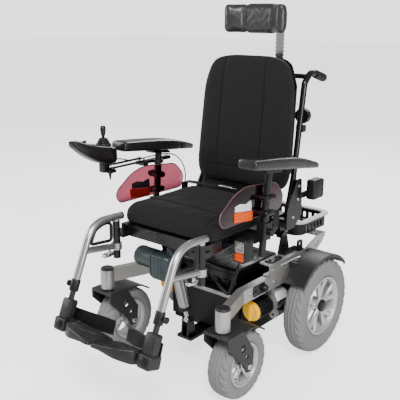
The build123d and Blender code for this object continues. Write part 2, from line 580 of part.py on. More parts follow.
def release_cap(side):
    """Turning cap on the motor's end that frees the drive, with its finger ridge."""
    end = MOTOR_FRONT_Y - FACE
    cap = rod((MOTOR_X, end - RELEASE_CAP_THICKNESS, MOTOR_Z), (MOTOR_X, end, MOTOR_Z), MOTOR_RADIUS - 1)
    ridge = block((MOTOR_X - 5, MOTOR_X + 5), (end - RELEASE_CAP_THICKNESS - 7, end - 2),
                  (MOTOR_Z - MOTOR_RADIUS + 3, MOTOR_Z + MOTOR_RADIUS - 3))
    cap += fillet(ridge.edges().filter_by(Axis.Z), 3.0)
    return cap if side > 0 else mirrored(cap)


# ---- seat --------------------------------------------------------------------------


def seat_frame():
    """Seat rails, cross bars, pan, pivot hangers and the leg rest posts."""
    low, high = SEAT_BOTTOM, SEAT_BOTTOM + SEAT_RAIL_HEIGHT
    x = (SEAT_RAIL_X - SEAT_RAIL_WIDTH / 2, SEAT_RAIL_X + SEAT_RAIL_WIDTH / 2)
    frame = block((-x[1], x[1]), (SEAT_FRONT_Y, SEAT_FRONT_Y + 26), (low, high))
    frame += block((-x[1], x[1]), (SEAT_REAR_Y - 26, SEAT_REAR_Y), (low, high))
    frame += block((-x[1], x[1]), (SEAT_FRONT_Y, SEAT_REAR_Y), (high, high + PAN))
    y, z = TILT_PIVOT
    hanger = block(x, (SEAT_FRONT_Y, SEAT_REAR_Y), (low, high))
    lug = side_plate([(y - 22, low + 1), (y + 20, low + 1), (y + 12, z - 12), (y - 12, z - 12)], x[0] + 6,
                     x[1] - FACE, 4.0)
    hanger += lug - rod((x[0], y, z), (x[1] + 1, y, z), TILT_PIN + RUN)
    post_face = HANGER_X - HANGER_POST_RADIUS + 1
    arm = block((x[0], HANGER_X + 6), (HANGER_POST_Y - 6, SEAT_FRONT_Y + 14), (low + 3, low + 22))
    arm += block((x[0], HANGER_X - 2), (SEAT_FRONT_Y - 6, SEAT_FRONT_Y + 77), (low + 3, high + PAN))
    arm += block((x[0], post_face + 2), (HANGER_POST_Y - 6, SEAT_FRONT_Y + 4), (low + 3, low + 22))
    arm += rod((HANGER_X, HANGER_POST_Y, HANGER_POST_Z[0]), (HANGER_X, HANGER_POST_Y, HANGER_POST_Z[1]),
               HANGER_POST_RADIUS)
    arm -= rod((HANGER_X, HANGER_POST_Y, HANGER_POST_Z[1] - 30),
               (HANGER_X, HANGER_POST_Y, HANGER_POST_Z[1] + 1),
               HANGER_PIN + RUN)
    side = hanger + arm
    frame += side + mirrored(side)
    top_y, top_z = ACTUATOR_TOP
    for sign in (1, -1):
        ear = side_plate([(top_y - 26, low + 1), (top_y + 22, low + 1), (top_y + 12, top_z - 10),
                          (top_y - 12, top_z - 10)],
                         ACTUATOR_EAR_X, ACTUATOR_EAR_X + 6.0)
        frame += ear if sign > 0 else mirrored(ear)
    web = block((-ACTUATOR_EAR_X - 6, ACTUATOR_EAR_X + 6), (SEAT_FRONT_Y + 20, top_y + 30), (low, low + 8))
    frame += web + rod((-ACTUATOR_EAR_X - 8, top_y, top_z), (ACTUATOR_EAR_X + 8, top_y, top_z), ROD_EYE_PIN)
    return [frame]


def post_axis(height):
    """Y of the arm post's centre line at a height."""
    return POST_FOOT_Y + (height - POST_FOOT_Z) * tan(radians(POST_LEAN))


def armrest_sockets():
    """Sleeves that hold the arm posts, with brackets to the seat rails and clamp knobs."""
    bottom, top = SOCKET_Z
    inner_x = SEAT_RAIL_X + SEAT_RAIL_WIDTH / 2
    foot, head = (SOCKET_X, post_axis(bottom), bottom), (SOCKET_X, post_axis(top), top)
    direction = Vector(*head) - Vector(*foot)
    sleeve = extrude(Plane(origin=foot, x_dir=(1, 0, 0), z_dir=direction) * RectangleRounded(38, 42, 8),
                     amount=direction.length)
    low = SEAT_BOTTOM + 4
    bracket = block((inner_x, SOCKET_X - 16), (post_axis(low) - 24, post_axis(low) + 24), (low, low + 30))
    sleeve += bracket
    sleeve -= rod((SOCKET_X, post_axis(bottom - 40), bottom - 40),
                  (SOCKET_X, post_axis(top + 40), top + 40), POST_RADIUS + RUN)
    knob_z = (bottom + top) / 2
    knob = rod((SOCKET_X + 19, post_axis(knob_z), knob_z), (SOCKET_X + 34, post_axis(knob_z), knob_z), 11)
    return both(sleeve, knob)


def seat_cushion():
    """Wedge-shaped cushion on the pan."""
    low = SEAT_BOTTOM + SEAT_RAIL_HEIGHT + PAN
    front, rear = SEAT_FRONT_Y, SEAT_FRONT_Y + SEAT_DEPTH
    outline = [(front, low + 3), (front + 30, low + FACE), (rear, low + FACE),
               (rear, low + CUSHION_THICKNESS - 10),
               (front + 40, low + CUSHION_THICKNESS), (front, low + CUSHION_THICKNESS - 22)]
    body = side_plate(outline, -SEAT_WIDTH / 2, SEAT_WIDTH / 2, 8.0)
    return [chamfer(body.faces().sort_by(Axis.X)[-1].edges() + body.faces().sort_by(Axis.X)[0].edges(),
                    5.0)]


def lamps():
    """Front lamp pods under the seat and tail lamps behind it, each with its lenses."""
    inner_x = SEAT_RAIL_X + SEAT_RAIL_WIDTH / 2
    front = LAMP_FRONT_Y
    pod = fillet(block((LAMP_X[0], LAMP_X[1]), (front + 8, front + 55), LAMP_Z).edges().filter_by(Axis.Y),
                 10.0)
    stay = block((inner_x, LAMP_X[0] + 6), (front + 24, front + 46), (SEAT_BOTTOM + 8, SEAT_BOTTOM + 28))
    split = LAMP_Z[0] + (LAMP_Z[1] - LAMP_Z[0]) * 0.42
    lens_x = (LAMP_X[0] + 3, LAMP_X[1] - 3)
    amber = block(lens_x, (front, front + 8), (LAMP_Z[0] + 3, split))
    clear = block(lens_x, (front, front + 8), (split, LAMP_Z[1] - 3))
    tail = fillet(block(TAIL_X, (TAIL_Y[0], TAIL_Y[1] - 14), TAIL_Z).edges().filter_by(Axis.X), 8.0)
    arm = block((RECLINE_PLATE_X + 6, RECLINE_PLATE_X + 12), (-20, TAIL_Y[0] + 14), (576, 600))
    arm += block((RECLINE_PLATE_X + 6, TAIL_X[0] + 2), (TAIL_Y[0] + 2, TAIL_Y[0] + 14), (576, 600))
    tail_split = (TAIL_Z[0] + TAIL_Z[1]) / 2
    red = block((TAIL_X[0] + 2, TAIL_X[1] - 2), (TAIL_Y[1] - 14, TAIL_Y[1]), (TAIL_Z[0] + 4, tail_split))
    tail_amber = block((TAIL_X[0] + 2, TAIL_X[1] - 2), (TAIL_Y[1] - 14, TAIL_Y[1]),
                       (tail_split, TAIL_Z[1] - 4))
    return both(pod + stay, amber, clear, tail + arm, red, tail_amber)


def recline_brackets():
    """Fixed quadrant plates beside the canes, with the pins that the back turns on."""
    y, z = RECLINE_PIVOT
    outline = [(y + 20, z + 135), (y + 50, z + 135), (y + 60, z), (y + 12, z - 42), (y - 40, z - 42),
               (y - 40, z + 30)]
    plate = side_plate(outline, RECLINE_PLATE_X, RECLINE_PLATE_X + 6, 8.0)
    inner_x = SEAT_RAIL_X + SEAT_RAIL_WIDTH / 2
    plate += block((inner_x, RECLINE_PLATE_X + 1), (y - 42, y - 24),
                   (SEAT_BOTTOM + 2, SEAT_BOTTOM + SEAT_RAIL_HEIGHT - 4))
    return both(plate + rod((CANE_X - 14, y, z), (RECLINE_PLATE_X + 9, y, z), RECLINE_PIN))


def lap_belt():
    """Webbing across the cushion with its buckle, and the anchors on the seat rails."""
    top = SEAT_BOTTOM + SEAT_RAIL_HEIGHT + PAN + CUSHION_THICKNESS + 1.0
    rear = SEAT_FRONT_Y + SEAT_DEPTH
    strap = block((-SEAT_WIDTH / 2 - 6, SEAT_WIDTH / 2 + 6), (rear - 78, rear - 38), (top, top + 3))
    buckle = block((-30, 30), (rear - 82, rear - 34), (top + 3, top + 15))
    drop = block((SEAT_WIDTH / 2 + 3, SEAT_WIDTH / 2 + 6), (rear - 78, rear - 38),
                 (SEAT_BOTTOM + 26, top + 1))
    anchor = block((SEAT_RAIL_X + SEAT_RAIL_WIDTH / 2, SEAT_WIDTH / 2 + 3), (rear - 78, rear - 38),
                   (SEAT_BOTTOM + 6, SEAT_BOTTOM + 32))
    return [strap + drop + mirrored(drop), buckle, *both(anchor)]


def seat_cable():
    """Curly lead from the seat to the electronics, as one round bar of its outer size."""
    path = FilletPolyline(*SEAT_CABLE_ROUTE, radius=cord_radii(SEAT_CABLE_ROUTE))
    cable = sweep(Plane(origin=path @ 0, z_dir=path % 0) * Circle(SEAT_CABLE_RADIUS), path=path)
    return [cable]


def cord_radii(route):
    """Arc at each corner of a cord: 0.45 of the shorter run over the tangent of half the turn."""
    points = [Vector(*point) for point in route]
    radii = []
    for before, corner, after in zip(points, points[1:], points[2:]):
        first, second = corner - before, after - corner
        radii.append(0.45 * min(first.length, second.length) / tan(radians(first.get_angle(second) / 2)))
    print("cord arc radii", [round(radius, 1) for radius in radii])
    return radii


# ---- tilt actuator -----------------------------------------------------------------
def actuator_direction():
    """Unit vector down the actuator, from its top pin to its foot."""
    (top_y, top_z), (foot_y, foot_z) = ACTUATOR_TOP, ACTUATOR_FOOT
    return Vector(0, foot_y - top_y, foot_z - top_z).normalized()


def actuator_point(distance):
    """Point on the actuator's axis, measured down from its top pin."""
    return tuple(Vector(0, *ACTUATOR_TOP) + actuator_direction() * distance)


def actuator_body():
    """Motor, gear housing and outer tube, hung from the seat's front bar."""
    top_y, top_z = ACTUATOR_TOP
    motor_y, motor_z = top_y - 8, top_z - 49
    housing = block((-62, 15), (motor_y - 38, motor_y + 44), (motor_z - 58, motor_z + 33))
    housing = fillet(housing.edges().filter_by(Axis.X), 16.0)
    lug = rod((-14, top_y, top_z), (14, top_y, top_z), 15.0)
    lug += block((-14, 14), (top_y - 15, top_y + 15), (motor_z + 20, top_z))
    motor = rod((-143, motor_y, motor_z), (-60, motor_y, motor_z), 35.0)
    motor = fillet(motor.edges().sort_by(Axis.X)[0], 8.0)
    tube = rod(actuator_point(90), actuator_point(247), ACTUATOR_TUBE)
    bore = rod(actuator_point(112), actuator_point(250), ACTUATOR_ROD + RUN)
    pin = rod((-16, top_y, top_z), (16, top_y, top_z), ROD_EYE_PIN + RUN)
    return [(housing + lug + motor + tube) - bore - pin]


def actuator_rod():
    """Push rod with its foot eye."""
    (top_y, top_z), (foot_y, foot_z) = ACTUATOR_TOP, ACTUATOR_FOOT
    half = ROD_EYE_HALF
    length = Vector(0, foot_y - top_y, foot_z - top_z).length
    shape = rod(actuator_point(116), actuator_point(length - 8), ACTUATOR_ROD)
    shape += rod((-half, foot_y, foot_z), (half, foot_y, foot_z), ROD_EYE_PIN + ACTUATOR_CLEARANCE + 5)
    return [shape - rod((-half - 1, foot_y, foot_z), (half + 1, foot_y, foot_z),
                        ROD_EYE_PIN + ACTUATOR_CLEARANCE)]


# ---- back and head -----------------------------------------------------------------
def back_y(height):
    """Y of the back cushion's front face at a height."""
    return BACK_FRONT_Y + (height - BACK_BOTTOM) * tan(radians(BACK_LEAN))


def back_outline(inset, corner_top, corner_bottom):
    """Face of the back, as seen from the front: an arched top over a square bottom."""
    half = BACK_WIDTH / 2 - inset
    top = BACK_HEIGHT - inset
    face = make_face(Polyline((-half + 30, inset), (half - 30, inset), (half, inset + 60),
                              (half - 8, top - 90),
                              (half - 42, top), (-half + 42, top), (-half + 8, top - 90),
                              (-half, inset + 60), close=True))
    upper = [v for v in face.vertices() if v.Y > top - 1]
    face = fillet(upper, corner_top)
    lower = [v for v in face.vertices() if v.Y < inset + 61]
    return fillet(lower, corner_bottom)


def back_slab(inset, depth_from, depth_to):
    """Slab parallel to the back's front face, between two depths behind it."""
    plane = Plane(origin=(0, BACK_FRONT_Y, BACK_BOTTOM), x_dir=(1, 0, 0),
                  z_dir=(0, -cos(radians(BACK_LEAN)), sin(radians(BACK_LEAN))))
    return extrude(plane.offset(-depth_to) * back_outline(inset, 48.0, 18.0), amount=depth_to - depth_from)


def back_cushion():
    """Back cushion with rounded edges."""
    slab = back_slab(0.0, 0.0, BACK_THICKNESS)
    front = slab.faces().sort_by(Axis.Y)[0]
    return [chamfer(front.edges(), 8.0)]


def back_frame():
    """Canes with push handles, cross bars, the back pan and its clamp knobs."""
    cane = bent_tube(CANE_ROUTE, CANE_BENDS, CANE_X, CANE_RADIUS)
    y, z = RECLINE_PIVOT
    cane += rod((CANE_X - CANE_RADIUS + 1, y, z), (CANE_X + CANE_RADIUS - 1, y, z), 11.0)
    cane -= rod((CANE_X - 20, y, z), (CANE_X + 20, y, z), RECLINE_PIN + RUN)
    pan = back_slab(14.0, BACK_THICKNESS, BACK_THICKNESS + 6.0)
    frame = pan + cane + mirrored(cane)
    for height in (BAR_Z[0], BAR_Z[1]):
        bar_y = cane_y(height)
        frame += rod((-CANE_X, bar_y, height), (CANE_X, bar_y, height), 9.0)
        pan_y = back_y(height) + BACK_THICKNESS + 4
        for x in (-120, 120):
            frame += block((x - 14, x + 14), (pan_y, bar_y + 4), (height - 7, height + 7))
    grip = rod_grip()
    frame += grip + mirrored(grip)
    knob_y = cane_y(KNOB_Z) + CANE_RADIUS
    knob = rod((CANE_X, knob_y - 6, KNOB_Z), (CANE_X, knob_y + 16, KNOB_Z), 27.0)
    stop = block((CANE_X - 14, CANE_X + 14), (cane_y(KNOB_Z - 45), cane_y(KNOB_Z - 45) + 24),
                 (KNOB_Z - 56, KNOB_Z - 32))
    frame += knob + mirrored(knob) + stop + mirrored(stop)
    bracket = block((-30, 30), (cane_y(BAR_Z[1]), HEAD_BAR_Y + 10), (BAR_Z[1] - 14, BAR_Z[1] + 14))
    frame += bracket
    frame -= block((-HEAD_BAR_HALF - RUN, HEAD_BAR_HALF + RUN),
                   (HEAD_BAR_Y - 3 - RUN, HEAD_BAR_Y + 3 + RUN),
                   (BAR_Z[1] - 20, BAR_Z[1] + 20))
    return [frame]


def cane_y(height):
    """Y of the canes' straight run at a height."""
    (y0, z0), (y1, z1) = CANE_ROUTE[1], CANE_ROUTE[2]
    return y0 + (height - z0) * (y1 - y0) / (z1 - z0)


def rod_grip():
    """Thicker grip on the end of a push handle."""
    (y0, z0), (y1, z1) = CANE_ROUTE[3], CANE_ROUTE[4]
    start = (CANE_X, y0 + (y1 - y0) * 0.35, z0 + (z1 - z0) * 0.35)
    end = (CANE_X, y1 + (y1 - y0) * 0.03, z1 + (z1 - z0) * 0.03)
    return rod(start, end, CANE_RADIUS + 3.5)


def headrest_bar():
    """Toothed flat bar, with the arm that reaches forward to the pad's joint."""
    low, high = HEAD_BAR_Z
    y, z = HEAD_PIVOT
    bar = block((-HEAD_BAR_HALF, HEAD_BAR_HALF), (HEAD_BAR_Y - 3, HEAD_BAR_Y + 3), (low, high + 20))
    for step in range(9):
        for side in (1, -1):
            bar -= Pos(side * HEAD_BAR_HALF, HEAD_BAR_Y, BAR_Z[1] + 42 + 14 * step) * Box(6, 8, 6)
    arm = block((-9, 9), (y, HEAD_BAR_Y), (z - 8, z + 8))
    arm += rod((-9, y, z), (9, y, z), 12.0)
    return [(bar + arm) - rod((-10, y, z), (10, y, z), 5.0 + RUN)]


def headrest_pad():
    """Three-part pad with forward wings, its back plate and the joint's fork."""
    low, high = HEAD_PAD_Z
    y, z = HEAD_PIVOT
    rear, centre_half, wing = HEAD_PAD_REAR_Y, 61.0, 72.0
    thick = 50.0
    outline = [(-centre_half, rear), (centre_half, rear), (centre_half + wing, rear - 62),
               (centre_half + wing - 26, rear - 62 - thick * 0.55), (centre_half - 12, rear - thick),
               (-centre_half + 12, rear - thick), (-centre_half - wing + 26, rear - 62 - thick * 0.55),
               (-centre_half - wing, rear - 62)]
    pad = plan_plate(outline, low, high, 10.0)
    pad = chamfer(pad.faces().sort_by(Axis.Z)[-1].edges() + pad.faces().sort_by(Axis.Z)[0].edges(), 9.0)
    plate = block((-34, 34), (rear, rear + 5), (z - 30, z + 30))
    ear = side_plate([(rear + 4, z - 16), (y, z - 12), (y + 12, z), (y, z + 12), (rear + 4, z + 16)],
                     9 + FACE, 15.3)
    joint = plate + ear + mirrored(ear) + rod((-19, y, z), (19, y, z), 5.0)
    return [pad, joint]


# ---- arm rests ---------------------------------------------------------------------
def arm_post(side):
    """Leaning post with the two panel clamps; the right one carries the controller's mount."""
    top = POST_FOOT_Z + POST_LENGTH
    end = top - SADDLE / 2
    post = rod((SOCKET_X, post_axis(POST_FOOT_Z), POST_FOOT_Z), (SOCKET_X, post_axis(end), end),
               POST_RADIUS)
    inner = PANEL_X + PANEL_THICKNESS / 2
    for z in CLAMP_Z:
        y = post_axis(z)
        clamp = fillet(block((inner, SOCKET_X + 18), (y - 24, y + 24),
                             (z - 9, z + 9)).edges().filter_by(Axis.X), 8.0)
        post += clamp
    post += pad_frame(side) * block((PAD_X - 20, PAD_X + 20), (-45, 45), (-SADDLE, 0))
    if side > 0:
        return [post]
    post = mirrored(post)
    low = LINK_Z[0] - FACE
    y_post = post_axis(low - 6)
    post += rod((-SOCKET_X, y_post, low - 12), (-SOCKET_X, y_post, low), POST_RADIUS + 7)
    post += block((-SOCKET_X - 34, -SOCKET_X - 13), (LINK_Y[1] - 11, -190), (low - 12, low))
    post += block((LINK_X[1] - 11, LINK_X[0] + 11), (LINK_Y[1] - 11, LINK_Y[1] + 11), (low - 12, low))
    for x in LINK_X:
        post += rod((x, LINK_Y[1], low - 2), (x, LINK_Y[1], LINK_Z[1]), LINK_PIN_RADIUS)
    return [post]


def pad_frame(side):
    """Frame of a pad's underside over the post, tilted as that pad is set."""
    top = POST_FOOT_Z + POST_LENGTH
    return Pos(0, post_axis(top), top) * Rot(-PAD_TILT[side], 0, 0)


def arm_pad(side):
    """Arm pad, arched over its length and tapering to a thin, narrow tail."""
    front = PAD_FRONT_Y[side] - post_axis(POST_FOOT_Z + POST_LENGTH)
    outline = [(PAD_X - PAD_WIDTH / 2, front), (PAD_X + PAD_WIDTH / 2, front),
               (PAD_X + PAD_WIDTH / 2, front + PAD_LENGTH * 0.45),
               (PAD_X + PAD_WIDTH / 2 - 12, front + PAD_LENGTH),
               (PAD_X + PAD_WIDTH / 2 - 40, front + PAD_LENGTH),
               (PAD_X - PAD_WIDTH / 2 + 4, front + PAD_LENGTH * 0.5)]
    profile = [(front, 0), (front, PAD_NOSE), (front + PAD_LENGTH * 0.3, PAD_THICKNESS - 2),
               (front + PAD_LENGTH * 0.55, PAD_THICKNESS), (front + PAD_LENGTH * 0.78, PAD_THICKNESS - 9),
               (front + PAD_LENGTH, PAD_TAIL), (front + PAD_LENGTH, 0)]
    pad = plan_plate(outline, 0, PAD_THICKNESS, 9.0)
    pad &= side_plate(profile, PAD_X - PAD_WIDTH, PAD_X + PAD_WIDTH)
    pad = pad_frame(side) * pad
    return pad if side > 0 else mirrored(pad)


def side_panel(side):
    """Clear skirt guard inboard of the post, with its side reflector."""
    half = PANEL_THICKNESS / 2
    panel = side_plate(PANEL_OUTLINE, PANEL_X - half, PANEL_X + half, 24.0)
    reflector = block((PANEL_X + half, PANEL_X + half + 4), (-440, -345), (580, 612))
    pieces = [panel, reflector]
    return pieces if side > 0 else [mirrored(piece) for piece in pieces]


# ---- controller ----------------------------------------------------------------------
def swing_link(x):
    """Flat link with an eye at each end; the inner link passes under the outer one."""
    middle = sum(LINK_Z) / 2
    low, high = (LINK_Z[0], middle - FACE) if x == LINK_X[0] else (middle, LINK_Z[1])
    link = block((x - 6, x + 6), LINK_Y, (low, high))
    for y in LINK_Y:
        link += rod((x, y, low), (x, y, high), 9.0)
    for y in LINK_Y:
        link -= rod((x, y, LINK_Z[0] - 1), (x, y, LINK_Z[1] + 1), LINK_PIN_RADIUS + RUN / 2)
    return link


def controller_case():
    """Boat-shaped case over the links' front carrier, with the joystick's well."""
    x, y, z = STICK
    outline = [(y + 34, z - 12), (y + 34, z - 62), (y + 8, z - 68), (y - 52, z - 48), (y - 140, z + 14),
               (y - 138, z + 28), (y - 120, z + 30), (y - 40, z + 8)]
    case = side_plate(outline, x - 36, x + 36, 5.0)
    sides = plan_plate([(x - 36, y + 40), (x + 36, y + 40), (x + 34, y - 60), (x + 16, y - 145),
                        (x - 16, y - 145),
                        (x - 34, y - 60)], z - 90, z + 60, 9.0)
    case &= sides
    case += rod((x, y, z - 20), (x, y, z + 6), 24.0)
    case -= rod((x, y, z - 16), (x, y, z + 8), 19.0)
    for sign in (1, -1):
        case += rod((x + sign * 13.0, y, z), (x + sign * 20, y, z), 3.0)
    low = LINK_Z[0] - FACE
    case += block((LINK_X[1] - 11, LINK_X[0] + 11), (LINK_Y[0] - 20, LINK_Y[0] + 11), (low - 12, low))
    case += block((x - 14, x + 14), (LINK_Y[0] - 40, LINK_Y[0] - 12), (low - 12, z - 50))
    for link_x in LINK_X:
        case += rod((link_x, LINK_Y[0], low - 2), (link_x, LINK_Y[0], LINK_Z[1]), LINK_PIN_RADIUS)
    case += Pos(x, LINK_Y[0], low - 12) * Rot(180, 0, 0) * Cone(7, 2, 16,
                                                                align=(Align.CENTER, Align.CENTER,
                                                                       Align.MIN))
    case -= button_shape(0.4, 4.4)
    return [case]


def button_shape(extra, sink):
    """Round button in the case's sloping top, larger by extra for its hole."""
    x, y, z = STICK
    top = Plane(origin=(x, y - 84, z + 22), x_dir=(1, 0, 0), z_dir=(0, 0.27, 1))
    return extrude(top.offset(-sink) * Circle(8.0 + extra), amount=sink + 2.5)


def joystick_gimbal():
    """Ring between the joystick's two tilt axes."""
    x, y, z = STICK
    ring = rod((x, y, z - 5), (x, y, z + 5), 16.5, 8.5)
    ring -= rod((x - 20, y, z), (x + 20, y, z), 3.0 + RUN / 2)
    ring -= rod((x, y - 20, z), (x, y + 20, z), 2.2 + RUN / 2)
    return [ring]


def joystick_knob():
    """Stick with its upper bellows cone and the finger knob."""
    x, y, z = STICK
    stick = rod((x, y, z - 5), (x, y, z + 40), 4.0)
    stick += rod((x, y - 14, z), (x, y + 14, z), 2.2)
    stick += Pos(x, y, z + 15) * Cone(14, 7, 16, align=(Align.CENTER, Align.CENTER, Align.MIN))
    knob = rod((x, y, z + 30), (x, y, z + 66), 9.0)
    knob = fillet(knob.edges().sort_by(Axis.Z)[-1], 5.0)
    return [stick + knob]


def controller_cable():
    """Lead from the case along the mount and down the panel's rear edge to the seat."""
    path = FilletPolyline(*CONTROLLER_CABLE_ROUTE, radius=cord_radii(CONTROLLER_CABLE_ROUTE))
    return [sweep(Plane(origin=path @ 0, z_dir=path % 0) * Circle(CONTROLLER_CABLE_RADIUS), path=path)]


# ---- leg rests ---------------------------------------------------------------------
def leg_direction():
    """Unit vector down the leg tube."""
    (y0, z0), (y1, z1) = HANGER_ROUTE[1], HANGER_ROUTE[2]
    return Vector(0, y1 - y0, z1 - z0).normalized()


def leg_point(distance, x=HANGER_X):
    """Point on the leg tube's axis, measured down from the hanger's lower end."""
    return tuple(Vector(x, *HANGER_ROUTE[2]) + leg_direction() * distance)


def hanger(side):
    """Swing-away hanger: bent tube, lower stay, top pin, collar and the trim loop."""
    bore = HANGER_RADIUS - HANGER_WALL
    tube = bent_tube(HANGER_ROUTE, (HANGER_BEND,), HANGER_X, HANGER_RADIUS)
    (stay_y, stay_z), (post_y, post_z) = LOWER_STAY
    tube += rod((HANGER_X, stay_y, stay_z), (HANGER_X, post_y, post_z), HANGER_RADIUS - 1.5)
    collar_z = (post_z - 14, post_z + 10)
    tube += rod((HANGER_X, HANGER_POST_Y, collar_z[0]), (HANGER_X, HANGER_POST_Y, collar_z[1]),
                HANGER_POST_RADIUS + 5)
    tube -= rod((HANGER_X, HANGER_POST_Y, collar_z[0] - 1), (HANGER_X, HANGER_POST_Y, collar_z[1] + 1),
                HANGER_POST_RADIUS + RUN)
    top_z = HANGER_POST_Z[1]
    tube += rod((HANGER_X, HANGER_POST_Y, top_z - 26), (HANGER_X, HANGER_POST_Y, top_z + 8), HANGER_PIN)
    tube += rod((HANGER_X, HANGER_POST_Y, top_z + FACE), (HANGER_X, HANGER_POST_Y, top_z + 10),
                HANGER_POST_RADIUS - 1)
    tube += rod(leg_point(-38), leg_point(0), HANGER_RADIUS + 2.5)
    tube -= rod(leg_point(-LEG_INSERT - 90), leg_point(2), LEG_RADIUS + RUN)
    tube -= rod((HANGER_X, HANGER_ROUTE[0][0] + 5, HANGER_ROUTE[0][1]),
                (HANGER_X, HANGER_ROUTE[0][0] - 12, HANGER_ROUTE[0][1]), bore)
    trim = trim_loop()
    pieces = [tube, trim]
    return pieces if side > 0 else [mirrored(piece) for piece in pieces]


def trim_loop():
    """D-shaped plastic loop lining the triangle between hanger, stay and post."""
    outer = [(-566, 468), (-566, 530), (-600, 538), (-640, 522), (-664, 476)]
    loop = side_plate(outer, HANGER_X - 6, HANGER_X + 6, 10.0)
    inner = [(-574, 476), (-574, 521), (-600, 529), (-634, 515), (-653, 484)]
    loop -= side_plate(inner, HANGER_X - 8, HANGER_X + 8, 7.0)
    return loop


def foot_plane():
    """Foot hinge frame: local +Y rearward and down, +Z out of the footplate."""
    pitch = radians(FOOT_PITCH)
    return Plane(origin=FOOT_PIVOT, x_dir=(1, 0, 0), z_dir=(0, sin(pitch), cos(pitch)))


def leg_tube(side):
    """Telescoping leg tube with its clamp block, hinge block and moulded heel loop."""
    tube = rod(leg_point(-LEG_INSERT), leg_point(LEG_REACH), LEG_RADIUS)
    top, end = leg_point(LEG_REACH - 30), leg_point(LEG_REACH + 38)
    clamp = extrude(Plane(origin=top, x_dir=(1, 0, 0), z_dir=leg_direction()) * RectangleRounded(46, 34, 6),
                    amount=(Vector(*end) - Vector(*top)).length)
    foot = fillet(block((FACE, 52), (-FOOT_BLOCK, 14), (-FOOT_DEPTH, 2)).edges().filter_by(Axis.Y), 5.0)
    foot += rod((26, -FOOT_BLOCK - 5, -20), (26, -FOOT_BLOCK + 1, -20), 15)
    for y0, y1 in ((-FOOT_BLOCK + 2, -24), (-6, 10)):
        foot += rod((0, y0, 0), (0, y1, 0), KNUCKLE) + block((-1, 8), (y0, y1), (-4.5, 1.5))
    foot -= rod((0, -24, 0), (0, -6, 0), KNUCKLE + FACE)
    foot += rod((0, -FOOT_BLOCK + 2, 0), (0, 10, 0), FOOT_HINGE_PIN)
    clamp -= foot_plane().location * rod((0, -24, 0), (0, -6, 0), KNUCKLE + FACE)
    body = (foot_plane().location * foot) + clamp + tube
    pieces = [body, heel_loop()]
    return pieces if side > 0 else [mirrored(piece) for piece in pieces]


def heel_loop():
    """Band that stops the heel, from the clamp block to just behind the plate's inner corner."""
    line = [(44, 9), (4, 9.5), (-50, 22), (-100, 40), (-134, 48)]
    outer = [*line, *[(x + 1, y + 5) for x, y in reversed(line)]]
    band = extrude(make_face(Polyline(*outer, close=True)), amount=HEEL_LOOP_HEIGHT)
    return foot_plane().location * Pos(0, 0, HEEL_LOOP_LOW) * band


def footplate(side):
    """Footplate that thins towards its inner end and flips up on its hinge pin."""
    outline = [(-FACE, -FOOT_BLOCK), (-FACE, 6), (-50, 12), (-120, FOOT_REAR - 3), (-163, FOOT_REAR),
               (-163, -FOOT_FRONT + 6),
               (-60, -FOOT_FRONT + 14)]
    plate = plan_plate(outline, -FOOT_DEPTH, 0)
    far = 200.0
    under = [(-18, -FOOT_DEPTH - 1), (-170, -FOOT_DEPTH - 1), (-170, -FOOT_DROP - FOOT_TIP_DEPTH)]
    over = [(-24, 1), (-24, 0), (-170, -FOOT_DROP), (-170, 1)]
    for outline in (under, over):
        plate -= extrude(Plane.XZ.offset(-far) * make_face(Polyline(*outline, close=True)), amount=2 * far)
    plate -= rod((0, -far, 0), (0, far, 0), KNUCKLE + FACE)
    plate += rod((0, -24 + FACE, 0), (0, -6 - FACE, 0), KNUCKLE) + block((-8, 0), (-24 + FACE, -6 - FACE),
            (-4.5, 0))
    plate -= rod((0, -60, 0), (0, 40, 0), FOOT_HINGE_PIN + RUN / 2)
    plate -= rod((-16, -60, -18), (-16, -20, -18), 5.0)
    plate = foot_plane().location * plate
    return plate if side > 0 else mirrored(plate)


def hanger_latch(side):
    """Sprung release lever under the lower stay."""
    z = LOWER_STAY[1][1] - 30
    lever = plan_plate([(HANGER_X - 6, -559.2), (HANGER_X + 6, -559.2), (HANGER_X + 14, -590),
                        (HANGER_X + 6, -612),
                        (HANGER_X - 8, -612), (HANGER_X - 14, -590)], z, z + 12, 4.0)
    lever += rod((HANGER_X, -580, z + 11), (HANGER_X, -580, z + 20.7), 5.0)
    return lever if side > 0 else mirrored(lever)


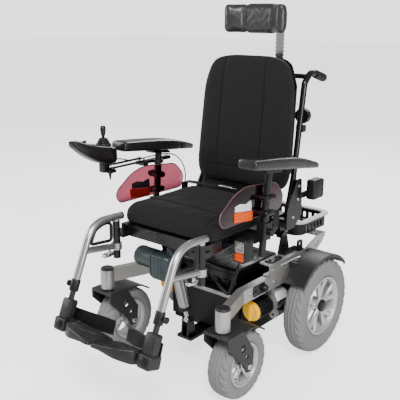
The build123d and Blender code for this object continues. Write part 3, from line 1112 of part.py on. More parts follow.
# ---- whole chair -------------------------------------------------------------------
def build_nodes():
    """Every node's name with its solids."""
    nodes = {
        "side_rails": side_rails(), "barrel_caps": barrel_caps(), "base_crossframe": base_crossframe(),
        "side_channels": side_channels(), "rear_gussets": rear_gussets(),
        "tie_down_brackets": tie_down_brackets(),
        "battery_box": battery_box(), "batteries": batteries(), "electronics_box": electronics_box(),
        "drive_units": drive_units(), "motor_clamps": motor_clamps(), "rear_fenders": rear_fenders(),
        "rack_rim": rack_rim(), "rack_basket": rack_basket(),
        "seat_frame": seat_frame(), "armrest_sockets": armrest_sockets(), "seat_cushion": seat_cushion(),
        "lamps": lamps(), "recline_brackets": recline_brackets(), "lap_belt": lap_belt(),
        "seat_cable": seat_cable(),
        "actuator_body": actuator_body(), "actuator_rod": actuator_rod(),
        "back_frame": back_frame(), "back_cushion": back_cushion(),
        "headrest_bar": headrest_bar(), "headrest_pad": headrest_pad(),
        "swing_link_inner": [swing_link(LINK_X[0])], "swing_link_outer": [swing_link(LINK_X[1])],
        "controller_case": controller_case(), "power_button": [button_shape(0.0, 2.0)],
        "joystick_gimbal": joystick_gimbal(), "joystick_knob": joystick_knob(),
        "controller_cable": controller_cable(),
    }
    for side, name in ((1, "left"), (-1, "right")):
        tyre, rim, cap = drive_wheel(side)
        nodes["rear_tyre_" + name] = [tyre]
        nodes["rear_rim_" + name] = [rim, cap]
        fork, small_tyre, small_rim = caster(side)
        nodes["caster_fork_" + name] = [fork]
        nodes["caster_tyre_" + name] = [small_tyre]
        nodes["caster_rim_" + name] = [small_rim]
        nodes["release_cap_" + name] = [release_cap(side)]
        nodes["arm_post_" + name] = arm_post(side)
        nodes["arm_pad_" + name] = [arm_pad(side)]
        nodes["side_panel_" + name] = side_panel(side)
        nodes["hanger_" + name] = hanger(side)
        nodes["leg_tube_" + name] = leg_tube(side)
        nodes["footplate_" + name] = [footplate(side)]
        nodes["hanger_latch_" + name] = [hanger_latch(side)]
    return nodes


def main():
    """Write each node's STEP file with the origin at the middle of the footprint."""
    os.makedirs("parts", exist_ok=True)
    nodes = build_nodes()
    boxes = [solid.bounding_box() for solids in nodes.values() for solid in solids]
    shift = -(min(box.min.Y for box in boxes) + max(box.max.Y for box in boxes)) / 2
    for name, solids in nodes.items():
        export_step(Pos(0, shift, 0) * Compound(children=list(solids)),
                    os.path.join("parts", name + ".step"))
    print("nodes", len(nodes), "rear axle at Y =", round(shift, 3))


main()
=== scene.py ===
"""Looks of a power wheelchair with a tilting seat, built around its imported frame.

Shapes are drawn in millimetres with the rear axle at Y = 0, the ground at Z = 0, the
chair facing -Y and its own left at +X. Workshop moves them into the frame, in metres.
"""
from __future__ import annotations

import logging
import math
from dataclasses import dataclass, field
from enum import Enum
from typing import Callable, Optional, Sequence

import bmesh
import bpy
import numpy as np
from mathutils import Matrix, Vector
from mathutils.bvhtree import BVHTree

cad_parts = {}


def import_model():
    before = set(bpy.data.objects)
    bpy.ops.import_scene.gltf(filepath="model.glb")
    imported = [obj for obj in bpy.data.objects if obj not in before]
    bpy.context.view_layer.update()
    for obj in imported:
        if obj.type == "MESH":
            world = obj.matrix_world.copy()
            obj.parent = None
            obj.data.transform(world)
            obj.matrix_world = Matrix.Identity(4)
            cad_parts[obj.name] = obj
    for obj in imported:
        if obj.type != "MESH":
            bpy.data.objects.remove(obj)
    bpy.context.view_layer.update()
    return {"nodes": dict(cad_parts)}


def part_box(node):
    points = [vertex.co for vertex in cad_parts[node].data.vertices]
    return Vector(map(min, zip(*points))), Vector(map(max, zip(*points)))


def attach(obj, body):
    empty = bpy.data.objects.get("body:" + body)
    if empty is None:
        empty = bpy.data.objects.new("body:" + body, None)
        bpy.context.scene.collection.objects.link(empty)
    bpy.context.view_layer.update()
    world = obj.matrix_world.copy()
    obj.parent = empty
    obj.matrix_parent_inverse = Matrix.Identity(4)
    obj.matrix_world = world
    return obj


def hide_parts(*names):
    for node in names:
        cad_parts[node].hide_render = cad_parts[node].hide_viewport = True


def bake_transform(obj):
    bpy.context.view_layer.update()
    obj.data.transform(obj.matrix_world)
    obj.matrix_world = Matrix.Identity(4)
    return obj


LOG = logging.getLogger("wheelchair")
MM = 0.001
Points = np.ndarray
Colour = tuple[float, float, float]
Thing = bpy.types.Object
Tree = bpy.types.NodeTree
Socket = bpy.types.NodeSocket
FLOAT, VECTOR, COLOUR = "NodeSocketFloat", "NodeSocketVector", "NodeSocketColor"
SIDES = ((1, "left"), (-1, "right"))
DRIVE_CENTRE = (293.0, 0.0, 179.0)
CASTER_CENTRE = (264.0, -449.0, 119.0)
LINK_ENDS = (-500, -343)
SHARP = 38.0  # edges that turn by more degrees stay sharp
WELD = 0.00002  # points nearer than this, in metres, are merged
POLE = 0.01  # radius at the tip of a turned shape, in millimetres


# ---- shapes ------------------------------------------------------------------------
@dataclass
class Shape:
    """Points in millimetres and the faces that join them."""

    points: Points
    faces: list[Sequence[int]]

    def __add__(self, other: "Shape") -> "Shape":
        """Both shapes as one."""
        shift = len(self.points)
        moved = [[i + shift for i in face] for face in other.faces]
        return Shape(np.vstack([self.points, other.points]), list(self.faces) + moved)

    def move(self, x: float = 0.0, y: float = 0.0, z: float = 0.0) -> "Shape":
        """The shape shifted."""
        return Shape(self.points + np.array([x, y, z]), self.faces)

    def turn(self, axis: str, degrees: float, about: Sequence[float] = (0, 0, 0)) -> "Shape":
        """The shape turned about an axis through a point.

        Args:
            axis: "x", "y" or "z".
            degrees: Angle, right-handed.
            about: A point on the axis.

        Returns:
            The turned shape.
        """
        matrix = np.array(Matrix.Rotation(math.radians(degrees), 3, axis.upper()))
        about = np.asarray(about, float)
        return Shape((self.points - about) @ matrix.T + about, self.faces)

    def side(self, side: int) -> "Shape":
        """The shape itself for side 1, its mirror image across X = 0 for side -1."""
        if side > 0:
            return self
        return Shape(self.points * np.array([-1.0, 1.0, 1.0]), [list(face)[::-1] for face in self.faces])

    def pair(self) -> "Shape":
        """The shape and its mirror image."""
        return self + self.side(-1)


def combine(shapes: Sequence[Shape]) -> Shape:
    """All shapes as one."""
    total = shapes[0]
    for shape in shapes[1:]:
        total = total + shape
    return total


def lattice(points: Points, closed_rows: bool = False) -> Shape:
    """Surface through a grid of points, row by row; each row is a closed ring.

    Args:
        points: Array of rows x columns x 3.
        closed_rows: The last row joins the first; otherwise both end rows are closed with one face.

    Returns:
        The surface.
    """
    rows, columns = points.shape[:2]
    row = np.arange(rows if closed_rows else rows - 1)[:, None]
    column = np.arange(columns)[None, :]
    after_row, after_column = (row + 1) % rows, (column + 1) % columns
    quads = np.stack([row * columns + column, row * columns + after_column,
                      after_row * columns + after_column, after_row * columns + column], -1).reshape(-1, 4)
    faces: list[Sequence[int]] = quads.tolist()
    if not closed_rows:
        faces.append(list(range(columns))[::-1])
        faces.append(list(range((rows - 1) * columns, rows * columns)))
    return Shape(points.reshape(-1, 3), faces)


def ring_frame(axis: str) -> tuple[Points, Points, Points]:
    """Unit vectors (across, up, along) of a turned shape about X, Y or Z."""
    frames = {"x": ([0, 1, 0], [0, 0, 1], [1, 0, 0]), "y": ([0, 0, 1], [1, 0, 0], [0, 1, 0]),
              "z": ([1, 0, 0], [0, 1, 0], [0, 0, 1])}
    return tuple(np.array(v, float) for v in frames[axis])


def turned(profile: Sequence[tuple[float, float]], centre: Sequence[float], axis: str = "z",
           segments: int = 48, closed: bool = False) -> Shape:
    """Profile carried once round an axis: each point is radius and distance along it.

    Args:
        profile: Pairs of radius and distance along the axis.
        centre: Point that the distances start from.
        axis: "x", "y" or "z".
        segments: Columns round the axis.
        closed: The profile's last point joins its first.

    Returns:
        The closed surface.
    """
    across, up, along = ring_frame(axis)
    profile_array = np.array(profile, float)
    angle = np.linspace(0, 2 * np.pi, segments, endpoint=False)
    spoke = np.cos(angle)[:, None] * across + np.sin(angle)[:, None] * up
    points = (np.asarray(centre, float) + profile_array[:, None, 0:1] * spoke[None]
              + profile_array[:, None, 1:2] * along)
    return lattice(points, closed_rows=closed)


def rounded_line(corners: Sequence[Sequence[float]], radius: float, steps: int = 8,
                 closed: bool = False) -> Points:
    """Line through corners with each corner eased by a quadratic curve.

    Args:
        corners: Corner points, in two or three dimensions.
        radius: How far before and after each corner the curve starts and ends.
        steps: Points on each curve.
        closed: The line returns to its start.

    Returns:
        Points along the line.
    """
    points = np.array(corners, float)
    count = len(points)
    out = []
    t = np.linspace(0, 1, steps)[:, None]
    for i in range(count):
        if not closed and i in (0, count - 1):
            out.append(points[i][None])
            continue
        before, here, after = points[i - 1], points[i], points[(i + 1) % count]
        room = 0.48 * min(np.linalg.norm(here - before), np.linalg.norm(after - here))
        cut = min(float(radius), room)
        start = here + (before - here) / np.linalg.norm(before - here) * cut
        end = here + (after - here) / np.linalg.norm(after - here) * cut
        out.append((1 - t) ** 2 * start + 2 * t * (1 - t) * here + t * t * end)
    return np.vstack(out)


def carried(path: Points, section: Points, scale: Optional[Points] = None, up: Sequence[float] = (0, 0, 1),
            closed: bool = False) -> Shape:
    """Section carried along a path, square to it.

    The section's first axis lies across `up` and the path, its second as near `up` as it can.

    Args:
        path: Points along the path.
        section: Pairs across and up.
        scale: One factor, or one pair of factors, for each path point.
        up: Direction that the section's second axis leans to.
        closed: The path returns to its start.

    Returns:
        The closed surface.
    """
    if closed:
        tangent = np.roll(path, -1, 0) - np.roll(path, 1, 0)
    else:
        tangent = np.gradient(path, axis=0)
    tangent = tangent / np.linalg.norm(tangent, axis=1)[:, None]
    side = np.cross(tangent, np.asarray(up, float))
    side = side / np.linalg.norm(side, axis=1)[:, None]
    rise = np.cross(side, tangent)
    factor = np.ones((len(path), 2)) if scale is None else np.broadcast_to(np.asarray(scale,
            float).reshape(len(path), -1), (len(path), 2))
    points = (path[:, None] + side[:, None] * (section[None, :, 0:1] * factor[:, None, 0:1])
              + rise[:, None] * (section[None, :, 1:2] * factor[:, None, 1:2]))
    return lattice(points, closed_rows=closed)


def even_loop(line: Points, count: int) -> Points:
    """Closed line resampled at even steps."""
    loop = np.vstack([line, line[:1]])
    length = np.concatenate([[0], np.cumsum(np.linalg.norm(np.diff(loop, axis=0), axis=1))])
    at = np.linspace(0, length[-1], count, endpoint=False)
    return np.stack([np.interp(at, length, loop[:, i]) for i in range(loop.shape[1])], 1)


def unit_rows(rows: Points) -> Points:
    """Every row scaled to length one."""
    return rows / np.linalg.norm(rows, axis=1)[:, None]


def smoothed(values: Points, reach: int) -> Points:
    """Moving average over 2 * reach + 1 values, with the end values repeated outward."""
    return np.convolve(np.pad(values, reach, "edge"), np.ones(2 * reach + 1) / (2 * reach + 1), "valid")


def held(values: Points) -> Points:
    """Values held between 0 and 1."""
    return np.clip(values, 0, 1)


def hill(values: Points, centre: float | Points, width: float) -> Points:
    """Gaussian hill of height one: exp(-((v - centre) / width)^2)."""
    return np.exp(-((values - centre) / width) ** 2)


def circle(radius: float, count: int = 20) -> Points:
    """Points round a circle."""
    angle = np.linspace(0, 2 * np.pi, count, endpoint=False)
    return np.stack([np.cos(angle), np.sin(angle)], 1) * radius


def squircle(width: float, height: float, power: float = 4.0, count: int = 32) -> Points:
    """Superellipse: |x/a|^n + |y/b|^n = 1."""
    angle = np.linspace(0, 2 * np.pi, count, endpoint=False)
    c, s = np.cos(angle), np.sin(angle)
    return np.stack([width / 2 * np.sign(c) * np.abs(c) ** (2 / power),
                     height / 2 * np.sign(s) * np.abs(s) ** (2 / power)], 1)


def pipe(corners: Sequence[Sequence[float]], radius: float, bend: float,
         up: Sequence[float] = (0, 0, 1), count: int = 20, closed: bool = False) -> Shape:
    """Round bar along corners that are eased by `bend`."""
    return carried(rounded_line(corners, bend, 10, closed), circle(radius, count), up=up, closed=closed)


def soft_block(low: Sequence[float], high: Sequence[float], radius: float) -> Shape:
    """Box whose edges and corners are rounded: a sphere's points pushed out to the box's eight corners.

    Args:
        low: Lowest corner.
        high: Highest corner.
        radius: Edge radius.

    Returns:
        The closed surface.
    """
    low_corner, high_corner = np.asarray(low, float), np.asarray(high, float)
    centre, half = (low_corner + high_corner) / 2, (high_corner - low_corner) / 2
    radius = min(radius, half.min() * 0.98)
    core = half - radius
    steps = 4
    quarter = np.linspace(0, np.pi / 2, steps + 1)
    around = np.concatenate([quarter + k * np.pi / 2 for k in range(4)])
    sign_x = np.repeat([1, -1, -1, 1], steps + 1)
    sign_y = np.repeat([1, 1, -1, -1], steps + 1)
    height = np.concatenate([quarter - np.pi / 2, quarter])
    sign_z = np.repeat([-1, 1], steps + 1)
    across = np.cos(height)[:, None, None] * np.stack([np.cos(around), np.sin(around)], -1)[None]
    points = np.empty((len(height), len(around), 3))
    points[..., 0] = centre[0] + sign_x * core[0] + radius * across[..., 0]
    points[..., 1] = centre[1] + sign_y * core[1] + radius * across[..., 1]
    points[..., 2] = centre[2] + (sign_z * core[2] + radius * np.sin(height))[:, None]
    return lattice(points)


def slab(outline: Points, low: float, high: float, bevel: float, axis: str) -> Shape:
    """Plate with a closed outline and rounded rims.

    Rings step round a quarter circle at each face: the outline moves in by bevel(1 - cos a)
    while the height moves by bevel sin a.

    Args:
        outline: Pairs in the plane square to the axis (Y, Z for "x"; X, Z for "y"; X, Y for "z").
        low: Lower face.
        high: Upper face.
        bevel: Rim radius.
        axis: Direction of the thickness.

    Returns:
        The closed surface.
    """
    before, after = np.roll(outline, 1, 0), np.roll(outline, -1, 0)
    edge = after - before
    normal = np.stack([edge[:, 1], -edge[:, 0]], 1)
    normal /= np.maximum(np.linalg.norm(normal, axis=1), 1e-9)[:, None]
    area = np.sum(outline[:, 0] * after[:, 1] - after[:, 0] * outline[:, 1])
    normal *= 1.0 if area > 0 else -1.0
    bevel = min(bevel, (high - low) / 2.05)
    angle = np.linspace(0, np.pi / 2, 4)
    inset = np.concatenate([bevel * (1 - np.sin(angle)), bevel * (1 - np.cos(angle))])
    level = np.concatenate([low + bevel * (1 - np.cos(angle)), high - bevel * (1 - np.sin(angle))])
    flat = outline[None] - normal[None] * inset[:, None, None]
    depth = np.broadcast_to(level[:, None], flat.shape[:2])
    order = {"x": (depth, flat[..., 0], flat[..., 1]), "y": (flat[..., 0], depth, flat[..., 1]),
             "z": (flat[..., 0], flat[..., 1], depth)}[axis]
    return lattice(np.stack(order, -1))


def bolt(point: Sequence[float], axis: str, sign: int = 1, radius: float = 5.0,
         height: float = 4.0) -> Shape:
    """Button-head screw with a socket, standing on a face: a dome turned about its axis."""
    profile = [(radius, 0), (radius, height * 0.35), (radius * 0.85, height * 0.8), (radius * 0.5, height),
               (radius * 0.42, height), (radius * 0.36, height * 0.35), (POLE, height * 0.3)]
    return turned([(r, sign * h) for r, h in profile], point, axis, 20)


# ---- finishes ----------------------------------------------------------------------
class Surface(Enum):
    """Kinds of surface that a finish may have."""

    PAINT = "paint"
    MOULDED = "moulded"
    RUBBER = "rubber"
    WEAVE = "weave"
    LEATHER = "leather"
    BRUSHED = "brushed"
    CAST = "cast"
    CLEAR = "clear"
    LENS = "lens"


SHADING = {Surface.WEAVE: 0.30, Surface.LENS: 0.5, Surface.LEATHER: 0.4, Surface.RUBBER: 0.3,
           Surface.BRUSHED: 0.3}


def link_object(name: str, data: bpy.types.ID) -> Thing:
    """New object that shows the data."""
    thing = bpy.data.objects.new(name, data)
    bpy.context.scene.collection.objects.link(thing)
    return thing


def feed(tree: Tree, node: bpy.types.Node, inputs: dict[str | int, object]) -> None:
    """Sets a node's inputs, or links those whose value is a socket."""
    for label, value in inputs.items():
        if isinstance(value, Socket):
            tree.links.new(value, node.inputs[label])
        else:
            node.inputs[label].default_value = value


def add_node(tree: Tree, kind: str, inputs: dict[str | int, object], **settings: object) -> bpy.types.Node:
    """New node with its settings and inputs.

    Args:
        tree: The tree that gets it.
        kind: Type name without "ShaderNode".
        inputs: A value or a socket for each input's name or place.
        settings: The node's own properties.

    Returns:
        The node.
    """
    node = tree.nodes.new("ShaderNode" + kind)
    for label, value in settings.items():
        setattr(node, label, value)
    feed(tree, node, inputs)
    return node


class EffectGroups:
    """Shader node groups that the finishes share, each built once."""

    KINDS = {"Vector": VECTOR, "Normal": VECTOR, "Base": COLOUR, "Worn": COLOUR, "Color": COLOUR}

    def __init__(self) -> None:
        """Builds every group."""
        self.grain = self._grain()
        self.weave = self._weave()
        self.wear = self._wear()
        self.brush = self._brush()

    def _start(self, name: str, inputs: dict[str, Optional[float]], outputs: Sequence[str]
               ) -> tuple[Tree, bpy.types.NodeOutputs]:
        """New group with its sockets.

        Args:
            name: Group name.
            inputs: Default of each input after "Vector"; colours have none.
            outputs: Name of each output.

        Returns:
            The group and the sockets that bring its inputs.
        """
        group = bpy.data.node_groups.new(name, "ShaderNodeTree")
        for label, default in {"Vector": None, **inputs}.items():
            socket = group.interface.new_socket(label, in_out="INPUT",
                                                socket_type=self.KINDS.get(label, FLOAT))
            if default is not None:
                socket.default_value = default
        for label in outputs:
            group.interface.new_socket(label, in_out="OUTPUT", socket_type=self.KINDS.get(label, FLOAT))
        return group, group.nodes.new("NodeGroupInput").outputs

    @staticmethod
    def _close(group: Tree, *results: Socket) -> Tree:
        """Links the results to the group's outputs, in their order."""
        target = group.nodes.new("NodeGroupOutput")
        for socket, result in zip(target.inputs, results):
            group.links.new(result, socket)
        return group

    def _grain(self) -> Tree:
        """Fine grain over slow mottling: two noises, the fine one also as relief."""
        group, source = self._start("surface_grain", {"Scale": 400, "Depth": 0.2},
                                    ("Mottle", "Fine", "Normal"))
        fine = add_node(group, "TexNoise", {"Vector": source["Vector"], "Scale": source["Scale"],
                                            "Detail": 4.0})
        slow = add_node(group, "TexNoise", {"Vector": source["Vector"], "Scale": 9.0, "Detail": 5.0,
                                            "Roughness": 0.6})
        height = fine.outputs["Fac"]
        bump = add_node(group, "Bump", {"Distance": 0.0006, "Height": height, "Strength": source["Depth"]})
        return self._close(group, slow.outputs["Fac"], height, bump.outputs["Normal"])

    def _weave(self) -> Tree:
        """Weave: the product of bands along X and along Y, plus half the bands along Z."""
        group, source = self._start("cloth_weave", {"Scale": 250, "Depth": 0.4}, ("Thread", "Normal"))
        x, y, z = (add_node(group, "TexWave", {"Distortion": 0.6, "Vector": source["Vector"],
                                               "Scale": source["Scale"]}, wave_type="BANDS",
                                               bands_direction=direction).outputs["Fac"]
                                               for direction in "XYZ")
        crossed = add_node(group, "Math", {0: x, 1: y}, operation="MULTIPLY")
        thread = add_node(group, "Math", {0: z, 1: 0.5, 2: crossed.outputs[0]},
                          operation="MULTIPLY_ADD").outputs[0]
        bump = add_node(group, "Bump", {"Distance": 0.0008, "Height": thread, "Strength": source["Depth"]})
        return self._close(group, thread, bump.outputs["Normal"])

    def _wear(self) -> Tree:
        """Dust and rubbed patches: a stepped noise that mixes a worn colour over the base and roughens it."""
        group, source = self._start("surface_wear", {"Base": None, "Worn": None, "Amount": 0.2,
                                                     "Roughness": 0.4}, ("Color", "Roughness"))
        noise = add_node(group, "TexNoise", {"Scale": 38.0, "Detail": 8.0, "Roughness": 0.68,
                                             "Vector": source["Vector"]})
        ramp = add_node(group, "ValToRGB", {"Fac": noise.outputs["Fac"]})
        ramp.color_ramp.elements[0].position, ramp.color_ramp.elements[1].position = 0.42, 0.72
        share = add_node(group, "Math", {0: ramp.outputs["Color"], 1: source["Amount"]},
                         operation="MULTIPLY").outputs[0]
        mix = add_node(group, "Mix", {"Factor": share, 6: source["Base"], 7: source["Worn"]},
                       data_type="RGBA")
        rough = add_node(group, "Math", {0: share, 1: 0.35, 2: source["Roughness"]},
                         operation="MULTIPLY_ADD")
        return self._close(group, mix.outputs[2], rough.outputs[0])

    def _brush(self) -> Tree:
        """Fine parallel marks: a noise squeezed across the marks and stretched along them."""
        group, source = self._start("brush_marks", {"Depth": 0.1}, ("Mark", "Normal"))
        mapping = add_node(group, "Mapping", {"Scale": (900, 25, 900), "Vector": source["Vector"]})
        noise = add_node(group, "TexNoise", {"Scale": 1.0, "Detail": 3.0,
                                             "Vector": mapping.outputs["Vector"]})
        mark = noise.outputs["Fac"]
        bump = add_node(group, "Bump", {"Distance": 0.0003, "Height": mark, "Strength": source["Depth"]})
        return self._close(group, mark, bump.outputs["Normal"])


@dataclass(frozen=True)
class Finish:
    """How one material looks."""

    name: str
    colour: Colour
    surface: Surface
    roughness: float = 0.4
    metallic: float = 0.0
    coat: float = 0.0
    worn: Colour = (0.3, 0.3, 0.3)
    wear: float = 0.12
    scale: float = 420.0
    depth: float = 0.15
    sheen: float = 0.0
    transmission: float = 0.0
    # emission of the finish's own colour: a painted glow on parts that are no lamps (the yellow release caps,
    # the panel reflectors), and the glow of the lamp lenses and the controller's lights
    lamp_and_painted_glow: float = 0.0
    shine: float = 0.5

    def make(self, groups: EffectGroups) -> bpy.types.Material:
        """Material with the surface's grain, wear and relief.

        Args:
            groups: The shared effects.

        Returns:
            The material.
        """
        material = bpy.data.materials.new(self.name)
        material.use_nodes = True
        tree = material.node_tree
        shader = next(node for node in tree.nodes if node.type == "BSDF_PRINCIPLED")
        place = tree.nodes.new("ShaderNodeTexCoord").outputs["Object"]
        wear = add_node(tree, "Group", {"Vector": place, "Base": (*self.colour, 1), "Worn": (*self.worn, 1),
                                        "Amount": self.wear, "Roughness": self.roughness},
                                        node_tree=groups.wear)
        chosen = {Surface.WEAVE: groups.weave, Surface.LENS: groups.weave, Surface.BRUSHED: groups.brush}
        relief = add_node(tree, "Group", {"Vector": place, "Depth": self.depth},
                          node_tree=chosen.get(self.surface, groups.grain))
        if "Scale" in relief.inputs:
            relief.inputs["Scale"].default_value = self.scale
        shade = add_node(tree, "Mix", {"Factor": SHADING.get(self.surface, 0.15), 6: wear.outputs["Color"],
                                       7: relief.outputs[0]}, data_type="RGBA", blend_type="MULTIPLY")
        feed(tree, shader, {"Base Color": shade.outputs[2], "Roughness": wear.outputs["Roughness"],
                            "Normal": relief.outputs["Normal"], "Metallic": self.metallic,
                            "Coat Weight": self.coat, "Coat Roughness": 0.08, "Sheen Weight": self.sheen,
                            "Specular IOR Level": self.shine, "Transmission Weight": self.transmission})
        # painted glow on the yellow caps and panel reflectors, which are no lamps; the lamp lenses and the
        # controller's lights glow too
        if self.lamp_and_painted_glow:
            feed(tree, shader, {"Emission Color": (*self.colour, 1), "Emission Strength": self.lamp_and_painted_glow})
        return material


SILVER = Finish("silver_lacquer", (0.47, 0.455, 0.43), Surface.PAINT, 0.33, 0.75, 0.25, (0.30, 0.28, 0.25),
                0.08)
RIM_SILVER = Finish("cast_silver", (0.58, 0.58, 0.575), Surface.CAST, 0.36, 0.7, 0.15, (0.4, 0.4, 0.4),
                    0.10, 300, 0.12)
TUBE_SILVER = Finish("brushed_tube", (0.56, 0.555, 0.55), Surface.BRUSHED, 0.27, 0.9, 0.1, (0.4, 0.4, 0.4),
                     0.08, 1, 0.06)
CHROME = Finish("polished_chrome", (0.78, 0.78, 0.79), Surface.BRUSHED, 0.12, 1.0, 0.0, (0.5, 0.5, 0.5),
                0.06, 1, 0.03)
BLACK_GLOSS = Finish("black_gloss", (0.004, 0.004, 0.005), Surface.PAINT, 0.27, 0.0, 0.15,
                     (0.012, 0.012, 0.013), 0.10, 300, 0.02, shine=0.35)
BLACK_PLASTIC = Finish("black_moulding", (0.006, 0.006, 0.007), Surface.MOULDED, 0.40, 0, 0.0,
                       (0.02, 0.02, 0.02), 0.15, 700, 0.2, shine=0.35)
DARK_PLATE = Finish("charcoal_plate", (0.018, 0.018, 0.020), Surface.MOULDED, 0.38, 0.1, 0.0,
                    (0.05, 0.05, 0.05), 0.2, 800, 0.25, shine=0.4)
CHARCOAL = Finish("charcoal_powder_coat", (0.022, 0.021, 0.021), Surface.PAINT, 0.42, 0.2, 0.0,
                  (0.06, 0.06, 0.06), 0.15, 900, 0.2, shine=0.4)
TYRE = Finish("grey_rubber", (0.205, 0.207, 0.212), Surface.RUBBER, 0.72, 0, 0, (0.27, 0.265, 0.255), 0.3,
              260, 0.3)
SEAT_CLOTH = Finish("seat_weave", (0.011, 0.011, 0.012), Surface.WEAVE, 0.85, 0, 0, (0.020, 0.019, 0.018),
                    0.2, 210, 0.22, 0.05, shine=0.15)
WEBBING = Finish("belt_webbing", (0.006, 0.006, 0.007), Surface.WEAVE, 0.6, 0, 0, (0.02, 0.02, 0.02), 0.15,
                 140, 0.4, 0.05, shine=0.2)
ARM_SKIN = Finish("arm_pad_skin", (0.012, 0.011, 0.010), Surface.LEATHER, 0.26, 0, 0.3,
                  (0.03, 0.028, 0.025), 0.2, 350, 0.12)
LEATHER = Finish("head_leather", (0.022, 0.020, 0.019), Surface.LEATHER, 0.36, 0, 0.1, (0.05, 0.045, 0.04),
                 0.3, 240, 0.4)
PANEL = Finish("burgundy_acrylic", (0.64, 0.15, 0.21), Surface.CLEAR, 0.05, 0, 0.1, (0.5, 0.1, 0.15), 0.03,
               60, 0.0, 0, 1.0)
# painted edge line: a dark opaque cord round the rim stands in for the line that light draws along the edge
# of the clear acrylic
PAINTED_EDGE_LINE = Finish("panel_edge", (0.12, 0.04, 0.05), Surface.CLEAR, 0.12, 0, 0.6, (0.2, 0.08, 0.09), 0.03,
                    60, 0.0)
# the release caps get a painted glow of their own yellow, though they are no lamps
YELLOW = Finish("yellow_cap", (1.0, 0.52, 0.0), Surface.MOULDED, 0.5, 0, 0, (0.9, 0.42, 0.0), 0.1, 500,
                0.12, lamp_and_painted_glow=0.12, shine=0.15)
# painted glow on the panel reflectors, which are no lamps; the amber lamp lenses and the controller's lights
# share this glow
REFLECTOR = Finish("orange_reflector", (0.95, 0.10, 0.0), Surface.LENS, 0.16, 0, 0.1, (0.6, 0.05, 0.0), 0.3,
                   28, 0.5, lamp_and_painted_glow=0.10, shine=0.15)
RED_LENS = Finish("red_lens", (0.50, 0.012, 0.008), Surface.LENS, 0.15, 0, 0.5, (0.4, 0.02, 0.02), 0.1, 28,
                  0.7, 0, 0, 0.06)
WHITE_PATCH = Finish("white_sticker", (0.80, 0.80, 0.80), Surface.PAINT, 0.45, 0, 0, (0.7, 0.7, 0.7), 0.1,
                     300, 0.03)
CLEAR_LENS = Finish("clear_lens", (0.50, 0.46, 0.42), Surface.LENS, 0.08, 0.55, 0.7, (0.25, 0.20, 0.16),
                    0.5, 22, 1.0)
ACTUATOR = Finish("grey_actuator", (0.035, 0.052, 0.054), Surface.PAINT, 0.40, 0.25, 0.1,
                  (0.08, 0.095, 0.095), 0.15, 500, 0.15)
BRASS = Finish("brass_valve", (0.72, 0.5, 0.2), Surface.BRUSHED, 0.3, 1.0, 0, (0.4, 0.3, 0.1), 0.1, 1, 0.05)
CABLE = Finish("cable_sheath", (0.010, 0.010, 0.011), Surface.RUBBER, 0.42, 0, 0, (0.03, 0.03, 0.03), 0.15,
               600, 0.12)
BATTERY = Finish("battery_case", (0.03, 0.03, 0.033), Surface.MOULDED, 0.5)
FLOOR = Finish("studio_floor", (0.90, 0.90, 0.90), Surface.PAINT, 0.9, 0, 0, (0.89, 0.89, 0.89), 0.05, 40,
               0.0)


# ---- workshop ----------------------------------------------------------------------
@dataclass
class Workshop:
    """Puts shapes into the frame as finished pieces."""

    axle_y: float
    groups: EffectGroups = field(default_factory=EffectGroups)
    materials: dict[str, bpy.types.Material] = field(default_factory=dict)

    def at(self, x: float, y: float, z: float) -> Vector:
        """Point in the frame, in metres."""
        return Vector((x * MM, y * MM + self.axle_y, z * MM))

    def into_frame(self, points: Points) -> Points:
        """Drawn points in the frame, in metres."""
        return np.asarray(points, float) * MM + np.array([0.0, self.axle_y, 0.0])

    def from_frame(self, points: Points) -> Points:
        """Points of the frame as they are drawn, in millimetres."""
        return (np.asarray(points, float) - np.array([0.0, self.axle_y, 0.0])) / MM

    def material(self, finish: Finish) -> bpy.types.Material:
        """The finish's material, made once."""
        if finish.name not in self.materials:
            self.materials[finish.name] = finish.make(self.groups)
        return self.materials[finish.name]

    def piece(self, name: str, shape: Shape, finish: Finish, body: str = "", slot: str = "black_plastic",
              replaces: Sequence[str] = (), sharp: float = SHARP) -> Thing:
        """Makes a piece from a shape.

        Args:
            name: Piece name.
            shape: Points in millimetres and faces.
            finish: Its look.
            body: Body it rides on, or nothing for a piece that is attached later or not at all.
            slot: Name of a material slot; not used.
            replaces: CAD nodes that it stands for.
            sharp: Edges that turn by more than this many degrees stay sharp.

        Returns:
            The object.
        """
        mesh = bpy.data.meshes.new(name)
        mesh.from_pydata(self.into_frame(shape.points).tolist(), [], shape.faces)
        work = bmesh.new()
        work.from_mesh(mesh)
        bmesh.ops.remove_doubles(work, verts=work.verts, dist=WELD)
        bmesh.ops.recalc_face_normals(work, faces=work.faces)
        work.to_mesh(mesh)
        work.free()
        mesh.polygons.foreach_set("use_smooth", np.ones(len(mesh.polygons), bool))
        mesh.set_sharp_from_angle(angle=math.radians(sharp))
        return self.dress(link_object(name, mesh), finish, body, slot, replaces)

    def dress(self, thing: Thing, finish: Finish, body: str = "", slot: str = "",
              replaces: Sequence[str] = ()) -> Thing:
        """Gives an object its material, body and the nodes that it stands for."""
        thing.data.materials.clear()
        thing.data.materials.append(self.material(finish))
        if body:
            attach(thing, body)
        if replaces:
            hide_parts(*replaces)
        LOG.info("piece %s on %s", thing.name, body or "two bodies")
        return thing

    def repaint(self, node: Thing, finish: Finish) -> None:
        """Gives a CAD node its material."""
        node.data.materials.clear()
        node.data.materials.append(self.material(finish))


